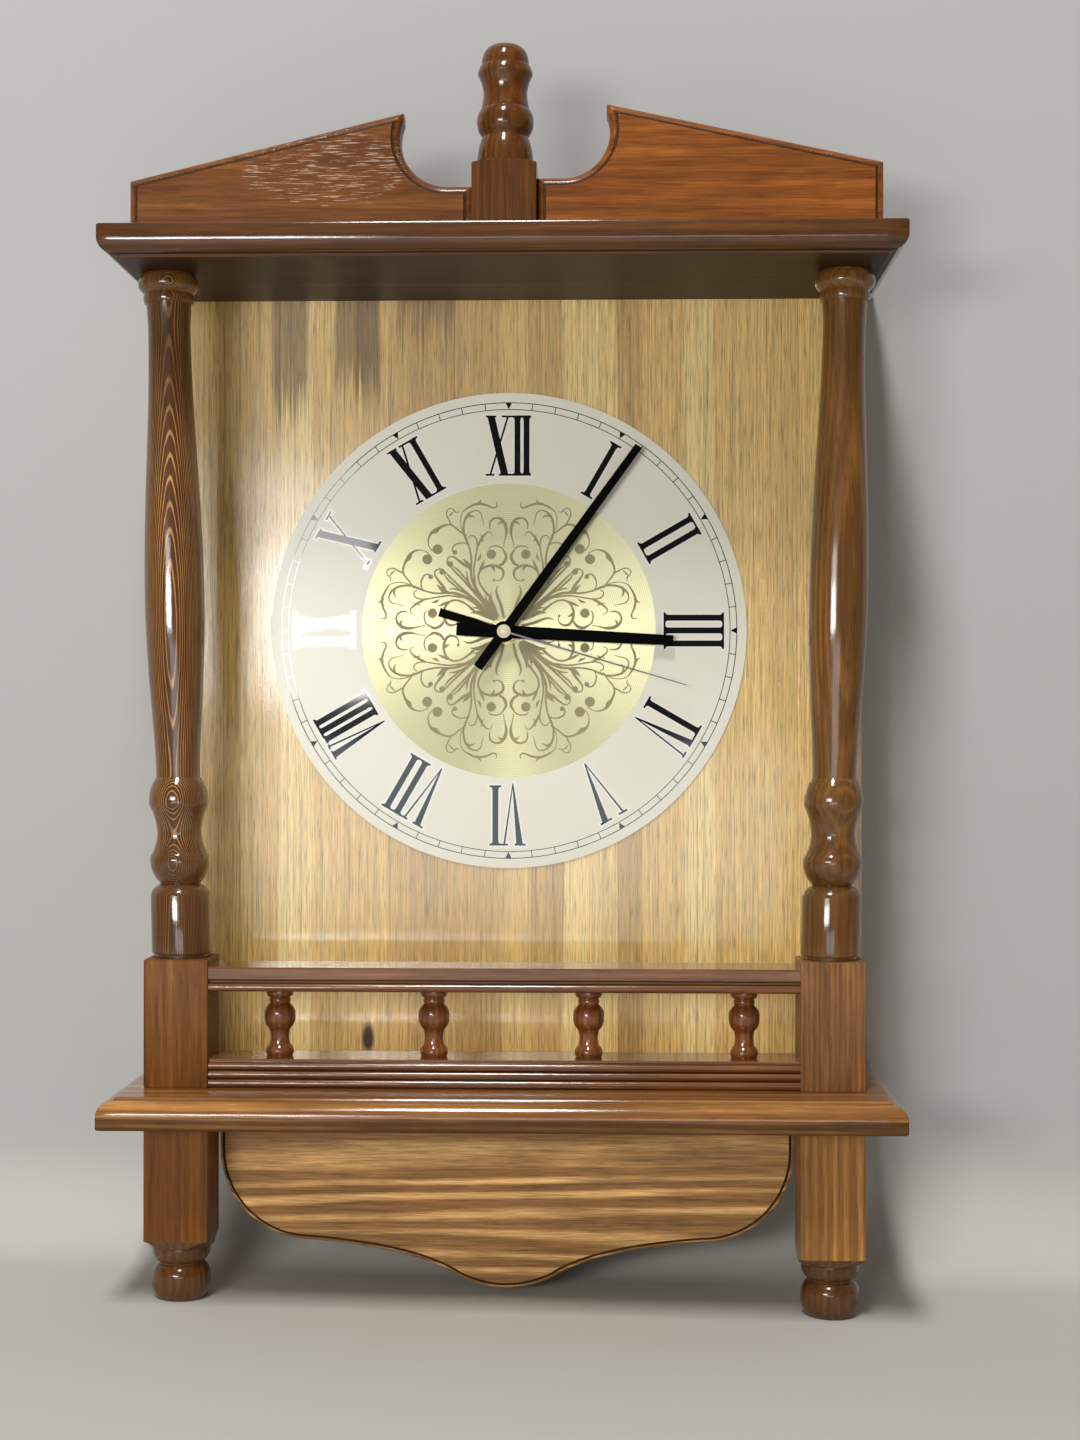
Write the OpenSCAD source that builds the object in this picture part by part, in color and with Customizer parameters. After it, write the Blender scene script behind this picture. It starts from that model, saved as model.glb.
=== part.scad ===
// A wall clock in a turned and moulded pine case, with a battery movement behind its back panel.
// X is to the right, Y runs back to the wall, Z is up. The origin is the centre of the round entry
// hole of the hanger plate, in the plane of the wall.

/* [Boards] */
// Width of the cornice and of the shelf
board_w = 461; // [430:1:560]
// Depth of the cornice and of the shelf, from the wall
board_d = 184; // [165:1:230]
// Thickness of the cornice and of the shelf
board_t = 18; // [16:0.5:24]
// Radius of the rounded edge
edge_r = 8.5; // [4:0.5:11]
// Height of the small step behind the rounded edge
edge_step = 1.5; // [0.5:0.5:3]

/* [Back] */
// Height of the back panel between shelf and cornice
panel_h = 480.5; // [440:0.5:600]
// Thickness of the back panel
panel_t = 9; // [6:0.5:12]
// Distance from the end of the boards to the edge of the back panel
panel_inset = 10.5; // [6:0.5:16]
// Depth of the space between the wall and the back panel
cavity_d = 33; // [30:0.5:45]
// Width of the battens along the sides and the bottom
batten_w = 18; // [12:1:26]
// Height of the hanging rail
rail_h = 50; // [46:1:80]

/* [Posts] */
// Width and depth of the square posts, legs and blocks
post_w = 38; // [36:0.5:42]
// Distance from the end of the boards to the outer face of the posts
post_inset = 19.5; // [14:0.5:26]
// Distance from the nose of the boards to the front face of the posts
nose = 40; // [30:1:60]
// Height of the square blocks on the shelf
block_h = 75.3; // [60:0.1:90]
// Height of the square part of the left leg
left_leg_h = 77; // [60:0.1:110]
// Height of the square part of the right leg, which is cut longer than the left one
right_leg_h = 84.4; // [60:0.1:110]
// Height of the turned feet
foot_h = 31.3; // [30:0.1:36]
// Largest diameter of the turned feet
foot_d = 34.6; // [30:0.1:36]
// Diameter of the sole of the feet
sole_d = 29.5; // [26:0.1:30]
// Diameter of the groove of the feet
foot_groove_d = 26.5; // [20:0.1:28]
// Rise of the rounded lathe shoulder at a square post's corners
shoulder_rise = 4.8; // [2:0.1:6]

/* [Columns] */
// Diameter of the drum at the bottom of the columns
drum_d = 35.1; // [32:0.1:36]
// Height of the drum, with the narrow gap under it
drum_h = 37; // [25:0.1:45]
// Diameter of the narrow gap under the drum
gap_d = 30.4; // [24:0.1:31]
// Height of the narrow gap under the drum
gap_h = 2.1; // [1:0.1:4]
// Height of the slope on top of the drum
slope_h = 5.4; // [3:0.1:7]
// Diameter of the groove over the drum
groove_d = 23.4; // [18:0.1:25]
// Diameter of the ball over the groove
ball_d = 34.6; // [30:0.1:36]
// Height of the ball
ball_h = 29.6; // [24:0.1:34]
// Diameter of the waist over the ball
waist_d = 26; // [22:0.1:28]
// Height of the flare from the waist to the ring
flare_h = 16.9; // [12:0.1:22]
// Diameter of the ring over the waist
ring_d = 34.8; // [30:0.1:36]
// Height of the ring's rounded top
ring_h = 16.5; // [12:0.1:20]
// Diameter of the shaft over the ring
shaft_foot_d = 25.8; // [22:0.1:28]
// Diameter of the shaft at its belly
belly_d = 35.2; // [30:0.1:36]
// Height from the foot of the shaft to its belly
belly_h = 106; // [70:1:130]
// Diameter of the shaft at its neck
neck_d = 25; // [20:0.1:28]
// Height of the capital
capital_h = 17.7; // [14:0.1:24]
// Largest diameter of the capital
capital_d = 35.7; // [31:0.1:36]
// Distance by which the columns lean outwards at the top
lean = 8.6; // [0:0.1:10]

/* [Gallery] */
// Depth of the gallery rails, front to back
gallery_d = 36; // [24:0.5:36]
// Height of the top rail
top_rail_h = 14.3; // [11:0.1:18]
// Height of the bottom rail
bottom_rail_h = 17; // [14:0.1:22]
// Height of the spindles between the rails
spindle_h = 39.5; // [34:0.1:44]
// Largest diameter of the spindles
spindle_d = 18; // [16:0.1:22]
// Diameter of the spindles' necks
spindle_neck_d = 10.6; // [9:0.1:13]
// Diameter of the spindles' tenons
tenon_d = 6; // [4:0.1:8]
// Length of the spindles' tenons
tenon_l = 6; // [4:0.1:8]
// Distance from the middle of one spindle to the next
spindle_pitch = 91.6; // [80:0.1:95]
// Distance by which the row of spindles stands right of the middle
spindle_shift = 4; // [0:0.1:6]

/* [Apron] */
// Thickness of the apron
apron_t = 18; // [12:0.5:20]
// Height of the apron at its middle
apron_h = 107.7; // [98:0.1:112]
// Height of the apron's lower edge beside the middle lobe, over the lobe's lowest point
apron_rise = 28.2; // [20:0.1:32]
// Radius of the apron's lower corners
apron_corner_r = 55; // [40:0.5:66]
// Half width of the apron's middle lobe
lobe_w = 28.9; // [20:0.1:36]
// Height of the apron's middle lobe
lobe_h = 7; // [4:0.1:9]
// Depth of the routed front edge of the apron and the pediment
rout = 2.5; // [1:0.1:2.6]
// Side of the glue blocks behind the apron
glue_w = 18; // [12:1:24]
// Length of the glue blocks behind the apron
glue_l = 60; // [30:1:90]

/* [Pediment] */
// Thickness of the pediment
pediment_t = 18; // [12:0.5:22]
// Distance from the end of the boards to the end of the pediment
pediment_inset = 8; // [4:0.5:14]
// Height of the pediment's left half at its outer end
left_end_h = 36.7; // [30:0.1:60]
// Height of the pediment's right half at its outer end, which is cut taller than the left one
right_end_h = 45.4; // [30:0.1:60]
// Radius of the round cut beside the finial
cut_r = 28; // [20:0.1:34]
// Distance of the round cut's centre from the middle
cut_x = 34; // [24:0.1:44]
// Height of the left half's flat beside the finial block
left_flat_h = 32.4; // [26:0.1:40]
// Height of the right half's flat beside the finial block
right_flat_h = 37; // [26:0.1:40]
// Angle of the end of the round cut over its centre, in degrees
cut_angle = 21.8; // [0:0.1:35]
// Length of the short upright edge at the tip
tip_edge = 5.2; // [4:0.1:12]

/* [Finial] */
// Height of the finial's square block
finial_block_h = 45.6; // [40:0.1:60]
// Height of the bell on the block
bell_h = 16.2; // [12:0.1:20]
// Diameter at the bottom of the bell
bell_d = 33; // [28:0.1:36]
// Diameter at the top of the bell
bell_top_d = 27.5; // [24:0.1:28]
// Height of the finial's ball
finial_ball_h = 17; // [14:0.1:22]
// Diameter of the finial's ball
finial_ball_d = 33.7; // [30:0.1:36]
// Height of the neck over the finial's ball, up to the knob's edge
finial_neck_h = 20.3; // [16:0.1:26]
// Diameter of the neck over the finial's ball
finial_neck_d = 25.9; // [20:0.1:27]
// Diameter of the knob
knob_d = 32.6; // [29:0.1:36]
// Height of the knob over its edge
knob_h = 17.8; // [14:0.1:24]

/* [Joinery] */
// Diameter of the dowels in the posts
dowel_d = 10; // [8:0.1:12]
// Depth of a dowel in each post
dowel_l = 16; // [10:0.5:20]
// Depth of a dowel in the cornice
dowel_board_l = 12; // [8:0.5:14]
// Diameter of the thin dowels in the gallery and the pediment
thin_dowel_d = 6; // [4:0.1:8]
// Depth of a thin dowel in each piece
thin_dowel_l = 12; // [8:0.5:14]
// Clearance round a dowel
dowel_fit = 0.1; // [0.05:0.05:0.3]

/* [Hanger] */
// Radius of the hanger plate's round entry hole
entry_r = 5; // [4:0.1:6]
// Half width of the hanger plate's slot
slot_r = 2.75; // [1.5:0.05:3]
// Height of the slot's upper end over the entry hole
slot_rise = 10; // [7:0.1:11]
// Width of the hanger plate
plate_w = 64; // [52:1:90]
// Height of the hanger plate
plate_h = 28; // [28:0.5:36]
// Thickness of the hanger plate
plate_t = 1.6; // [1.2:0.1:2.5]
// Distance of the hanger screws from the middle
screw_x = 24; // [18:0.5:24]
// Radius of the hanger screws' shanks
screw_r = 1.75; // [1.5:0.05:2]
// Length of the hanger screws
screw_l = 18; // [10:0.5:25]
// Depth of the pocket behind the hanger plate
pocket_d = 9; // [5:0.5:14]

/* [Dial] */
// Diameter of the dial
dial_d = 299; // [240:1:330]
// Thickness of the dial
dial_t = 1; // [0.6:0.1:2]
// Height of the dial's centre over the shelf
dial_h = 271.5; // [240:0.1:290]
// How far the hands' axis lies left of the case's middle
axis_left = 4; // [0:0.1:8]
// How far the dial's middle lies right of its hole
dial_right = 2.5; // [0:0.1:4]
// How far the dial's middle lies above its hole
dial_up = 0.9; // [0:0.1:3]
// Length of the minute hand
minute_l = 143; // [110:0.5:145]
// Width of the minute hand
minute_w = 6; // [4:0.1:8]
// Length of the minute hand's tail
minute_tail = 28; // [14:0.5:40]
// Length of the hour hand
hour_l = 106; // [80:0.5:110]
// Width of the hour hand
hour_w = 8; // [5:0.1:10]
// Length of the hour hand's tail
hour_tail = 30; // [14:0.5:40]
// Length of the second hand
second_l = 119; // [90:0.5:130]
// Width of the second hand's needle
needle_w = 1.2; // [0.8:0.1:2]
// Length of the second hand's tail
second_tail = 42; // [20:0.5:50]
// Width of the second hand's tail
second_tail_w = 5.8; // [3:0.1:8]
// Thickness of the hands
hand_t = 0.8; // [0.5:0.1:1]
// Free space between one hand and the next
hand_gap = 1.8; // [1.6:0.1:3]
// Diameter of the hands' round hubs
hub_d = 13; // [11:0.1:16]
// Minutes past twelve that the hands show at rest
rest_minutes = 186; // [0:1:719]
// Seconds that the second hand shows at rest
rest_seconds = 17.7; // [0:0.1:59.9]

/* [Movement] */
// Width and height of the movement
movement_w = 56; // [56:1:66]
// Depth of the movement, front to back
movement_d = 16; // [16:0.5:20]
// Thickness of the movement's walls
wall = 1.2; // [0.8:0.1:1.4]
// Thickness of the rubber washer in front of the movement
rubber_t = 1; // [0.5:0.1:2]
// Radius of the threaded bush
bush_r = 4; // [3.6:0.1:5]
// Distance over the flats of the fixing nut
nut_w = 13; // [11:0.5:18]
// Thickness of the fixing nut
nut_t = 2.5; // [1.5:0.1:4]
// Thickness of the brass washer
washer_t = 0.5; // [0.3:0.1:1]
// Radius of the hour tube
hour_tube_r = 2.5; // [2.2:0.05:2.8]
// Radius of the minute tube
minute_tube_r = 1.6; // [1.4:0.05:1.7]
// Radius of the second arbor
second_r = 0.75; // [0.6:0.05:0.8]
// Radius of the thin pivots of the wheels
pivot_r = 0.5; // [0.4:0.05:0.6]
// Clearance round a tube, arbor or pivot
run_gap = 0.05; // [0.02:0.01:0.1]
// Thickness of a wheel
wheel_t = 1; // [0.6:0.1:1]
// Distance of the third wheel from the centre
third_dist = 10.8; // [10.6:0.05:11.2]
// Distance of the intermediate wheel from the centre
inter_dist = 10.8; // [10.7:0.05:11.2]
// Distance of the rotor from the intermediate wheel
rotor_dist = 8.4; // [7.8:0.05:8.6]
// Distance of the motion wheel from the centre
motion_dist = 9.6; // [9.2:0.05:9.8]
// Radius of the setting knob
knob_r = 6; // [4:0.1:7]
// Height of the setting knob
setting_h = 3.2; // [2:0.1:5]
// Radius of the battery
battery_r = 7.1; // [6.8:0.05:7.25]
// Length of the battery's body
battery_l = 49.2; // [47:0.1:49.8]
// Length of the battery's raised pole
pole_l = 1.3; // [0.8:0.1:1.5]

/* [Hidden] */
$fn = 96;

// Heights, from the hanger plate's entry hole
cornice_z = rail_h / 2;
deck_z = cornice_z - panel_h;
shelf_z = deck_z - board_t;
crown_z = cornice_z + board_t;
column_z = deck_z + block_h;
column_h = cornice_z - column_z;
dial_z = deck_z + dial_h;

// Places across and from the wall
panel_w = board_w - 2 * panel_inset;
panel_y = -cavity_d;
post_x = board_w / 2 - post_inset - post_w / 2;
post_front = -(board_d - nose);
post_y = post_front + post_w / 2;
post_back = post_front + post_w;
gallery_w = 2 * post_x - post_w;
spindle_count = 4;
spindle_z = deck_z + bottom_rail_h;
top_rail_z = spindle_z + spindle_h;
batten_x = panel_w / 2 - batten_w;
pediment_w = board_w / 2 - pediment_inset;
tip_x = cut_x + cut_r * cos(cut_angle);
pediment_dowel_x = [tip_x + 25, post_x - post_w];
slack = 0.2;
cut_extra = 1;
corner_r = 2;

// A circular arc of given centre and radius, as points from angle a to angle b
function arc(cx, cy, r, a, b, n = 12) =
    [for (i = [0 : n]) let (t = a + (b - a) * i / n) [cx + r * cos(t), cy + r * sin(t)]];

// A bowed line from p to q whose middle stands off by bow, to the right of the way from p to q
function bow(p, q, b, n = 8) =
    let (d = q - p, l = norm(d), s = [d[1], -d[0]] / l)
    [for (i = [0 : n]) let (t = i / n) p + d * t + s * b * 4 * t * (1 - t)];

// A line from p to q that leaves and arrives upright, as a lathe's long swell does
function swell(p, q, power = 1, n = 12) =
    [for (i = [0 : n]) let (t = i / n)
        [p[0] + (q[0] - p[0]) * (1 - cos(180 * pow(t, power))) / 2, p[1] + (q[1] - p[1]) * t]];

// A cubic curve from a to d with the handles b and c
function cubic(a, b, c, d, n = 12) =
    [for (i = [0 : n]) let (t = i / n, s = 1 - t)
        a * s * s * s + 3 * b * s * s * t + 3 * c * s * t * t + d * t * t * t];

// A closed outline moved inwards by d, along the mean of the normals of each point's two sides
function inset(p, d) =
    let (n = len(p))
    [for (i = [0 : n - 1])
        let (
            a = p[i] - p[(i + n - 1) % n],
            b = p[(i + 1) % n] - p[i],
            u = [-a[1], a[0]] / norm(a),
            v = [-b[1], b[0]] / norm(b)
        )
        p[i] + (u + v) * d / (1 + u * v)];

// An outline mirrored left to right, with its points in the same sense
function flipped(p) = [for (i = [len(p) - 1 : -1 : 0]) [-p[i][0], p[i][1]]];

module turned(points) {
    rotate_extrude() polygon(points);
}

// Draws its children, in X and Z, as a plate whose back is at y and whose thickness is t
module upright(y, t) {
    translate([0, y, 0]) rotate([90, 0, 0]) linear_extrude(t) children();
}

// Puts its children on the axes of the posts, moved outwards by out
module both_sides(out = 0) {
    for (side = [-1, 1]) translate([side * (post_x + out), post_y, 0]) children();
}

// Boards

// Half of a moulded board's outline, from its middle out to the rounded edge, as points
function moulded_half(w) = concat(
    [[w, 0], [w, board_t - edge_r - edge_step]],
    arc(w - edge_r, board_t - edge_r - edge_step, edge_r, 0, 90),
    [[w - edge_r, board_t]]);

module moulded_board() {
    half = moulded_half(board_w / 2);
    front = concat([[0, 0]], moulded_half(board_d), [[0, board_t]]);
    intersection() {
        upright(0, board_d) polygon(concat(half, flipped(half)));
        translate([-board_w / 2, 0, 0]) rotate([90, 0, 90]) linear_extrude(board_w)
            polygon([for (p = front) [-p[0], p[1]]]);
    }
}

module lower_shelf() {
    color("#8a5428") difference() {
        translate([0, 0, shelf_z]) moulded_board();
        post_dowel_set(dowel_fit);
    }
}

module cornice_board() {
    color("#6d4120") difference() {
        translate([0, 0, crown_z]) mirror([0, 0, 1]) moulded_board();
        post_dowel_set(dowel_fit);
        pediment_dowel_set(dowel_fit);
    }
}

// Back

module back_panel() {
    color("#c9a468") difference() {
        translate([-panel_w / 2, panel_y - panel_t, deck_z]) cube([panel_w, panel_t, panel_h]);
        at_centre() rod(bush_r + slack, -panel_t - rubber_t - cut_extra, cut_extra);
    }
}

module batten(x) {
    color("#a9793f") translate([x, panel_y, deck_z]) cube([batten_w, cavity_d, panel_h]);
}

module left_batten() {
    batten(-panel_w / 2);
}

module right_batten() {
    batten(batten_x);
}

module bottom_batten() {
    color("#a9793f") translate([-batten_x, panel_y, deck_z])
        cube([2 * batten_x, cavity_d, batten_w]);
}

module hanging_rail() {
    plate_z = (slot_rise - plate_h) / 2;
    pocket_w = 2 * entry_r + 6;
    color("#a9793f") difference() {
        translate([-batten_x, panel_y, -rail_h / 2]) cube([2 * batten_x, cavity_d, rail_h]);
        upright(cut_extra, plate_t + cut_extra) plate_outline(slack);
        translate([-pocket_w / 2, -plate_t - pocket_d, -entry_r - 2])
            cube([pocket_w, pocket_d + cut_extra, entry_r + slot_rise + slot_r + 4]);
        hanger_screw_places() rotate([90, 0, 0]) cylinder(r = screw_r, h = screw_l + 1);
    }
}

module plate_outline(extra) {
    low = (slot_rise - plate_h) / 2;
    translate([-plate_w / 2 - extra, low - extra])
        square([plate_w + 2 * extra, plate_h + 2 * extra]);
}

module hanger_screw_places() {
    for (side = [-1, 1]) translate([side * screw_x, 0, slot_rise / 2]) children();
}

module hanger_plate() {
    color("#b9bcc0") difference() {
        upright(0, plate_t) difference() {
            plate_outline(0);
            circle(entry_r);
            translate([-slot_r, 0]) square([2 * slot_r, slot_rise]);
            translate([0, slot_rise]) circle(slot_r);
        }
        hanger_screw_places() rotate([90, 0, 0]) {
            translate([0, 0, -cut_extra]) cylinder(r = screw_r, h = plate_t + 2 * cut_extra);
            cylinder(r1 = 2 * screw_r, r2 = screw_r, h = plate_t);
        }
    }
}

module hanger_screws() {
    color("#cfd2d4") hanger_screw_places() rotate([90, 0, 0]) difference() {
        union() {
            cylinder(r1 = 2 * screw_r, r2 = screw_r, h = plate_t);
            cylinder(r = screw_r, h = screw_l - 4);
            translate([0, 0, screw_l - 4]) cylinder(r1 = screw_r, r2 = 0.3, h = 4);
        }
        translate([-2 * screw_r - 1, -0.4, -1]) cube([4 * screw_r + 2, 0.8, 1.7]);
    }
}

// Dowels

module peg(r, l) {
    cylinder(r = r, h = l);
}

// The dowels of legs, blocks and columns, widened by extra where they are cut out of the wood
module post_dowel_set(extra) {
    both_sides() {
        translate([0, 0, shelf_z - dowel_l - extra])
            peg(dowel_d / 2 + extra, board_t + 2 * dowel_l + 2 * extra);
        translate([0, 0, column_z - dowel_l - extra])
            peg(dowel_d / 2 + extra, 2 * dowel_l + 2 * extra);
    }
    both_sides(lean) translate([0, 0, cornice_z - dowel_l - extra])
        peg(dowel_d / 2 + extra, dowel_l + dowel_board_l + 2 * extra);
}

module post_dowels() {
    color("#d8b47c") post_dowel_set(0);
}

module gallery_dowel_set(extra) {
    for (side = [-1, 1], z = [deck_z + bottom_rail_h / 2, top_rail_z + top_rail_h / 2])
        translate([side * gallery_w / 2, post_y, z]) rotate([0, 90, 0])
            translate([0, 0, -thin_dowel_l - extra])
                peg(thin_dowel_d / 2 + extra, 2 * (thin_dowel_l + extra));
}

module gallery_dowels() {
    color("#d8b47c") gallery_dowel_set(0);
}

module pediment_dowel_set(extra) {
    for (side = [-1, 1], x = pediment_dowel_x)
        translate([side * x, post_y, crown_z - dowel_board_l - extra])
            peg(thin_dowel_d / 2 + extra, dowel_board_l + thin_dowel_l + 2 * extra);
    translate([0, post_y, crown_z - dowel_board_l - extra])
        peg(dowel_d / 2 + extra, dowel_board_l + dowel_l + 2 * extra);
}

module pediment_dowels() {
    color("#d8b47c") pediment_dowel_set(0);
}

// Posts

module post_block(side) {
    color("#6b3f1e") difference() {
        translate([side * post_x - post_w / 2, post_front, deck_z]) cube([post_w, post_w, block_h]);
        post_dowel_set(dowel_fit);
        gallery_dowel_set(dowel_fit);
    }
}

module left_post_block() {
    post_block(-1);
}

module right_post_block() {
    post_block(1);
}

// The lathe's profile of a foot and of the shoulder under the square leg, from the sole up to h
function foot_profile(h) =
    let (
        half = post_w / 2,
        corner = half * sqrt(2) + 1,
        groove_z = foot_h * 0.67,
        cup_z = foot_h - 0.5
    )
    concat(
        [[0, 0], [sole_d / 2 - 1, 0]],
        bow([sole_d / 2 - 1, 0], [foot_d / 2, foot_h * 0.41], 1.2),
        bow([foot_d / 2, foot_h * 0.41], [foot_groove_d / 2, groove_z], 1.2),
        bow([foot_groove_d / 2, groove_z + 0.6], [half - 2, cup_z], 1.6),
        bow([half - 0.2, foot_h], [corner, foot_h + shoulder_rise + 0.8], -0.6),
        [[corner, h], [0, h]]);

module leg(side, h) {
    color("#6b3f1e") difference() {
        translate([side * post_x, post_y, shelf_z - h]) intersection() {
            turned(foot_profile(h));
            translate([-post_w / 2, -post_w / 2, 0]) cube([post_w, post_w, h]);
        }
        post_dowel_set(dowel_fit);
    }
}

module left_leg() {
    leg(-1, left_leg_h + foot_h);
}

module right_leg() {
    leg(1, right_leg_h + foot_h);
}

// Columns

// The lathe's profile of a column, from its foot on the block to the cornice, longer by cut_extra
// at each end
function column_profile() =
    let (
        groove_z = drum_h + slope_h + 1.2,
        ball_z = groove_z + ball_h * 0.54,
        waist_z = groove_z + ball_h,
        ring_z = waist_z + flare_h,
        shaft_z = ring_z + ring_h,
        belly_z = shaft_z + belly_h,
        neck_z = column_h - capital_h - 14,
        cap_z = column_h - capital_h
    )
    concat(
        [[0, -cut_extra], [gap_d / 2, -cut_extra], [gap_d / 2, gap_h], [drum_d / 2, gap_h],
            [drum_d / 2, drum_h]],
        bow([drum_d / 2, drum_h], [groove_d / 2 + 1.2, groove_z - 1], 0.9),
        [[groove_d / 2, groove_z]],
        bow([groove_d / 2 + 0.8, groove_z + 1], [ball_d / 2, ball_z], 1.8),
        bow([ball_d / 2, ball_z], [waist_d / 2, waist_z], -0.9),
        bow([waist_d / 2, waist_z], [ring_d / 2, ring_z], -1),
        bow([ring_d / 2, ring_z], [shaft_foot_d / 2, shaft_z], 1.6),
        swell([shaft_foot_d / 2, shaft_z + 2], [belly_d / 2, belly_z], 0.8),
        swell([belly_d / 2, belly_z], [neck_d / 2, neck_z], 1, 16),
        [[neck_d / 2 + 0.8, cap_z]],
        bow([neck_d / 2 + 1.9, cap_z], [neck_d / 2 + 1.9, cap_z + 5.9], 0.5, 6),
        bow([neck_d / 2 + 1.9, cap_z + 5.9], [capital_d / 2, cap_z + capital_h * 0.57], 0.5),
        bow([capital_d / 2, cap_z + capital_h * 0.57], [capital_d / 2 - 2.8, column_h], 0.9),
        [[capital_d / 2 - 2.8, column_h + cut_extra], [0, column_h + cut_extra]]);

module column(side) {
    color("#74441f") difference() {
        translate([side * post_x, post_y, column_z]) intersection() {
            rotate([0, side * atan(lean / column_h), 0]) turned(column_profile());
            translate([-post_w, -post_w, 0]) cube([2 * post_w, 2 * post_w, column_h]);
        }
        post_dowel_set(dowel_fit);
    }
}

module left_column() {
    column(-1);
}

module right_column() {
    column(1);
}

// Gallery

// A rail's section, with its front to the left, as points from the back bottom round to the top
module rail(z, outline) {
    translate([-gallery_w / 2, post_y, z]) rotate([90, 0, 90]) linear_extrude(gallery_w)
        polygon(outline);
}

module gallery_bottom_rail() {
    half = gallery_d / 2;
    reed = (bottom_rail_h - 2) / 3;
    front = [for (i = [0 : 2]) each arc(-half + reed / 2, 1 + reed * (i + 0.5), reed / 2, 270, 90, 8)];
    color("#5d3419") difference() {
        rail(deck_z, concat([[half, 0], [-half, 0], [-half, 1]], front,
            [[-half + 2, bottom_rail_h], [half, bottom_rail_h]]));
        gallery_dowel_set(dowel_fit);
        spindle_tenons(spindle_z - tenon_l - dowel_fit);
    }
}

module gallery_top_rail() {
    half = gallery_d / 2;
    bead = top_rail_h * 0.3;
    color("#6b3f1e") difference() {
        rail(top_rail_z, concat([[half, 0]],
            arc(-half + bead / 2, bead / 2, bead / 2, 270, 90, 8),
            [[-half + 1.5, bead + 0.8], [-half + 1.5, bead + 1.6], [-half, bead + 1.8],
                [-half, top_rail_h - 1], [-half + 1, top_rail_h], [half, top_rail_h]]));
        gallery_dowel_set(dowel_fit);
        spindle_tenons(top_rail_z - dowel_fit);
    }
}

function spindle_x(i) = spindle_shift + (i - (spindle_count - 1) / 2) * spindle_pitch;

// The tenons' holes, from height z up
module spindle_tenons(z) {
    for (i = [0 : spindle_count - 1])
        translate([spindle_x(i), post_y, z])
            peg(tenon_d / 2 + dowel_fit, tenon_l + 2 * dowel_fit);
}

// The lathe's profile of a spindle, from the end of its lower tenon to the end of its upper one
function spindle_profile() =
    let (r = spindle_neck_d / 2, h = spindle_h)
    concat(
        [[0, -tenon_l], [tenon_d / 2, -tenon_l], [tenon_d / 2, 0], [r + 1.5, 0]],
        bow([r + 1.5, 0], [r + 3, h * 0.11], 0.6),
        bow([r + 3, h * 0.11], [r, h * 0.33], 0.4),
        bow([r, h * 0.35], [spindle_d / 2, h * 0.6], 1),
        bow([spindle_d / 2, h * 0.6], [r, h * 0.81], 0.8),
        bow([r, h * 0.83], [r + 1.5, h * 0.88], 0.2),
        [[r + 1.5, h], [tenon_d / 2, h], [tenon_d / 2, h + tenon_l], [0, h + tenon_l]]);

module spindle(i) {
    color("#6b3f1e") translate([spindle_x(i), post_y, spindle_z]) turned(spindle_profile());
}

module gallery_spindle_1() {
    spindle(0);
}

module gallery_spindle_2() {
    spindle(1);
}

module gallery_spindle_3() {
    spindle(2);
}

module gallery_spindle_4() {
    spindle(3);
}

// Apron

// The right half of the apron's outline, from its lowest point out to the leg and up to top
function apron_half(top) =
    let (
        w = gallery_w / 2,
        low = shelf_z - apron_h,
        cx = w - apron_corner_r,
        cz = low + apron_rise + apron_corner_r,
        side = [cx, low + apron_rise],
        lobe = [lobe_w, low + lobe_h]
    )
    concat(
        [for (i = [0 : 6]) let (x = lobe_w * i / 7) [x, low + lobe_h * pow(x / lobe_w, 2)]],
        cubic(lobe, lobe + [16, 10.7], side - [44, 3.5], side - [0.5, 0]),
        arc(cx, cz, apron_corner_r, 270, 360, 12),
        [[w, top]]);

function apron_outline(top) =
    let (half = apron_half(top))
    concat(half, [for (p = flipped(half)) if (p[0] < 0) p]);

module apron() {
    color("#a0713c") {
        upright(post_back + apron_t, apron_t - rout) polygon(apron_outline(shelf_z));
        upright(post_back + rout, rout) polygon(inset(apron_outline(shelf_z + rout), rout));
    }
}

module apron_glue_blocks() {
    color("#a9793f") for (side = [-1, 1])
        translate([side * gallery_w / 4 - glue_l / 2, post_back + apron_t, shelf_z - glue_w])
            cube([glue_l, glue_w, glue_w]);
}

// Pediment

// A half of the pediment as it stands on the right, with its heights at the end and at the flat
function pediment_outline(end_h, flat_h) =
    let (inner = post_w / 2, tip_h = flat_h + cut_r * (1 + sin(cut_angle)) + tip_edge)
    concat(
        [[inner, 0], [pediment_w, 0], [pediment_w, end_h], [tip_x, tip_h]],
        arc(cut_x, flat_h + cut_r, cut_r, cut_angle, -90, 20),
        [[inner, flat_h]]);

module pediment(outline) {
    color("#83501f") difference() {
        translate([0, 0, crown_z]) {
            upright(post_y + pediment_t / 2, pediment_t - rout) polygon(outline);
            upright(post_y - pediment_t / 2 + rout, rout) polygon(inset(outline, rout));
        }
        pediment_dowel_set(dowel_fit);
    }
}

module right_pediment() {
    pediment(pediment_outline(right_end_h, right_flat_h));
}

module left_pediment() {
    pediment(flipped(pediment_outline(left_end_h, left_flat_h)));
}

// Finial

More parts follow.
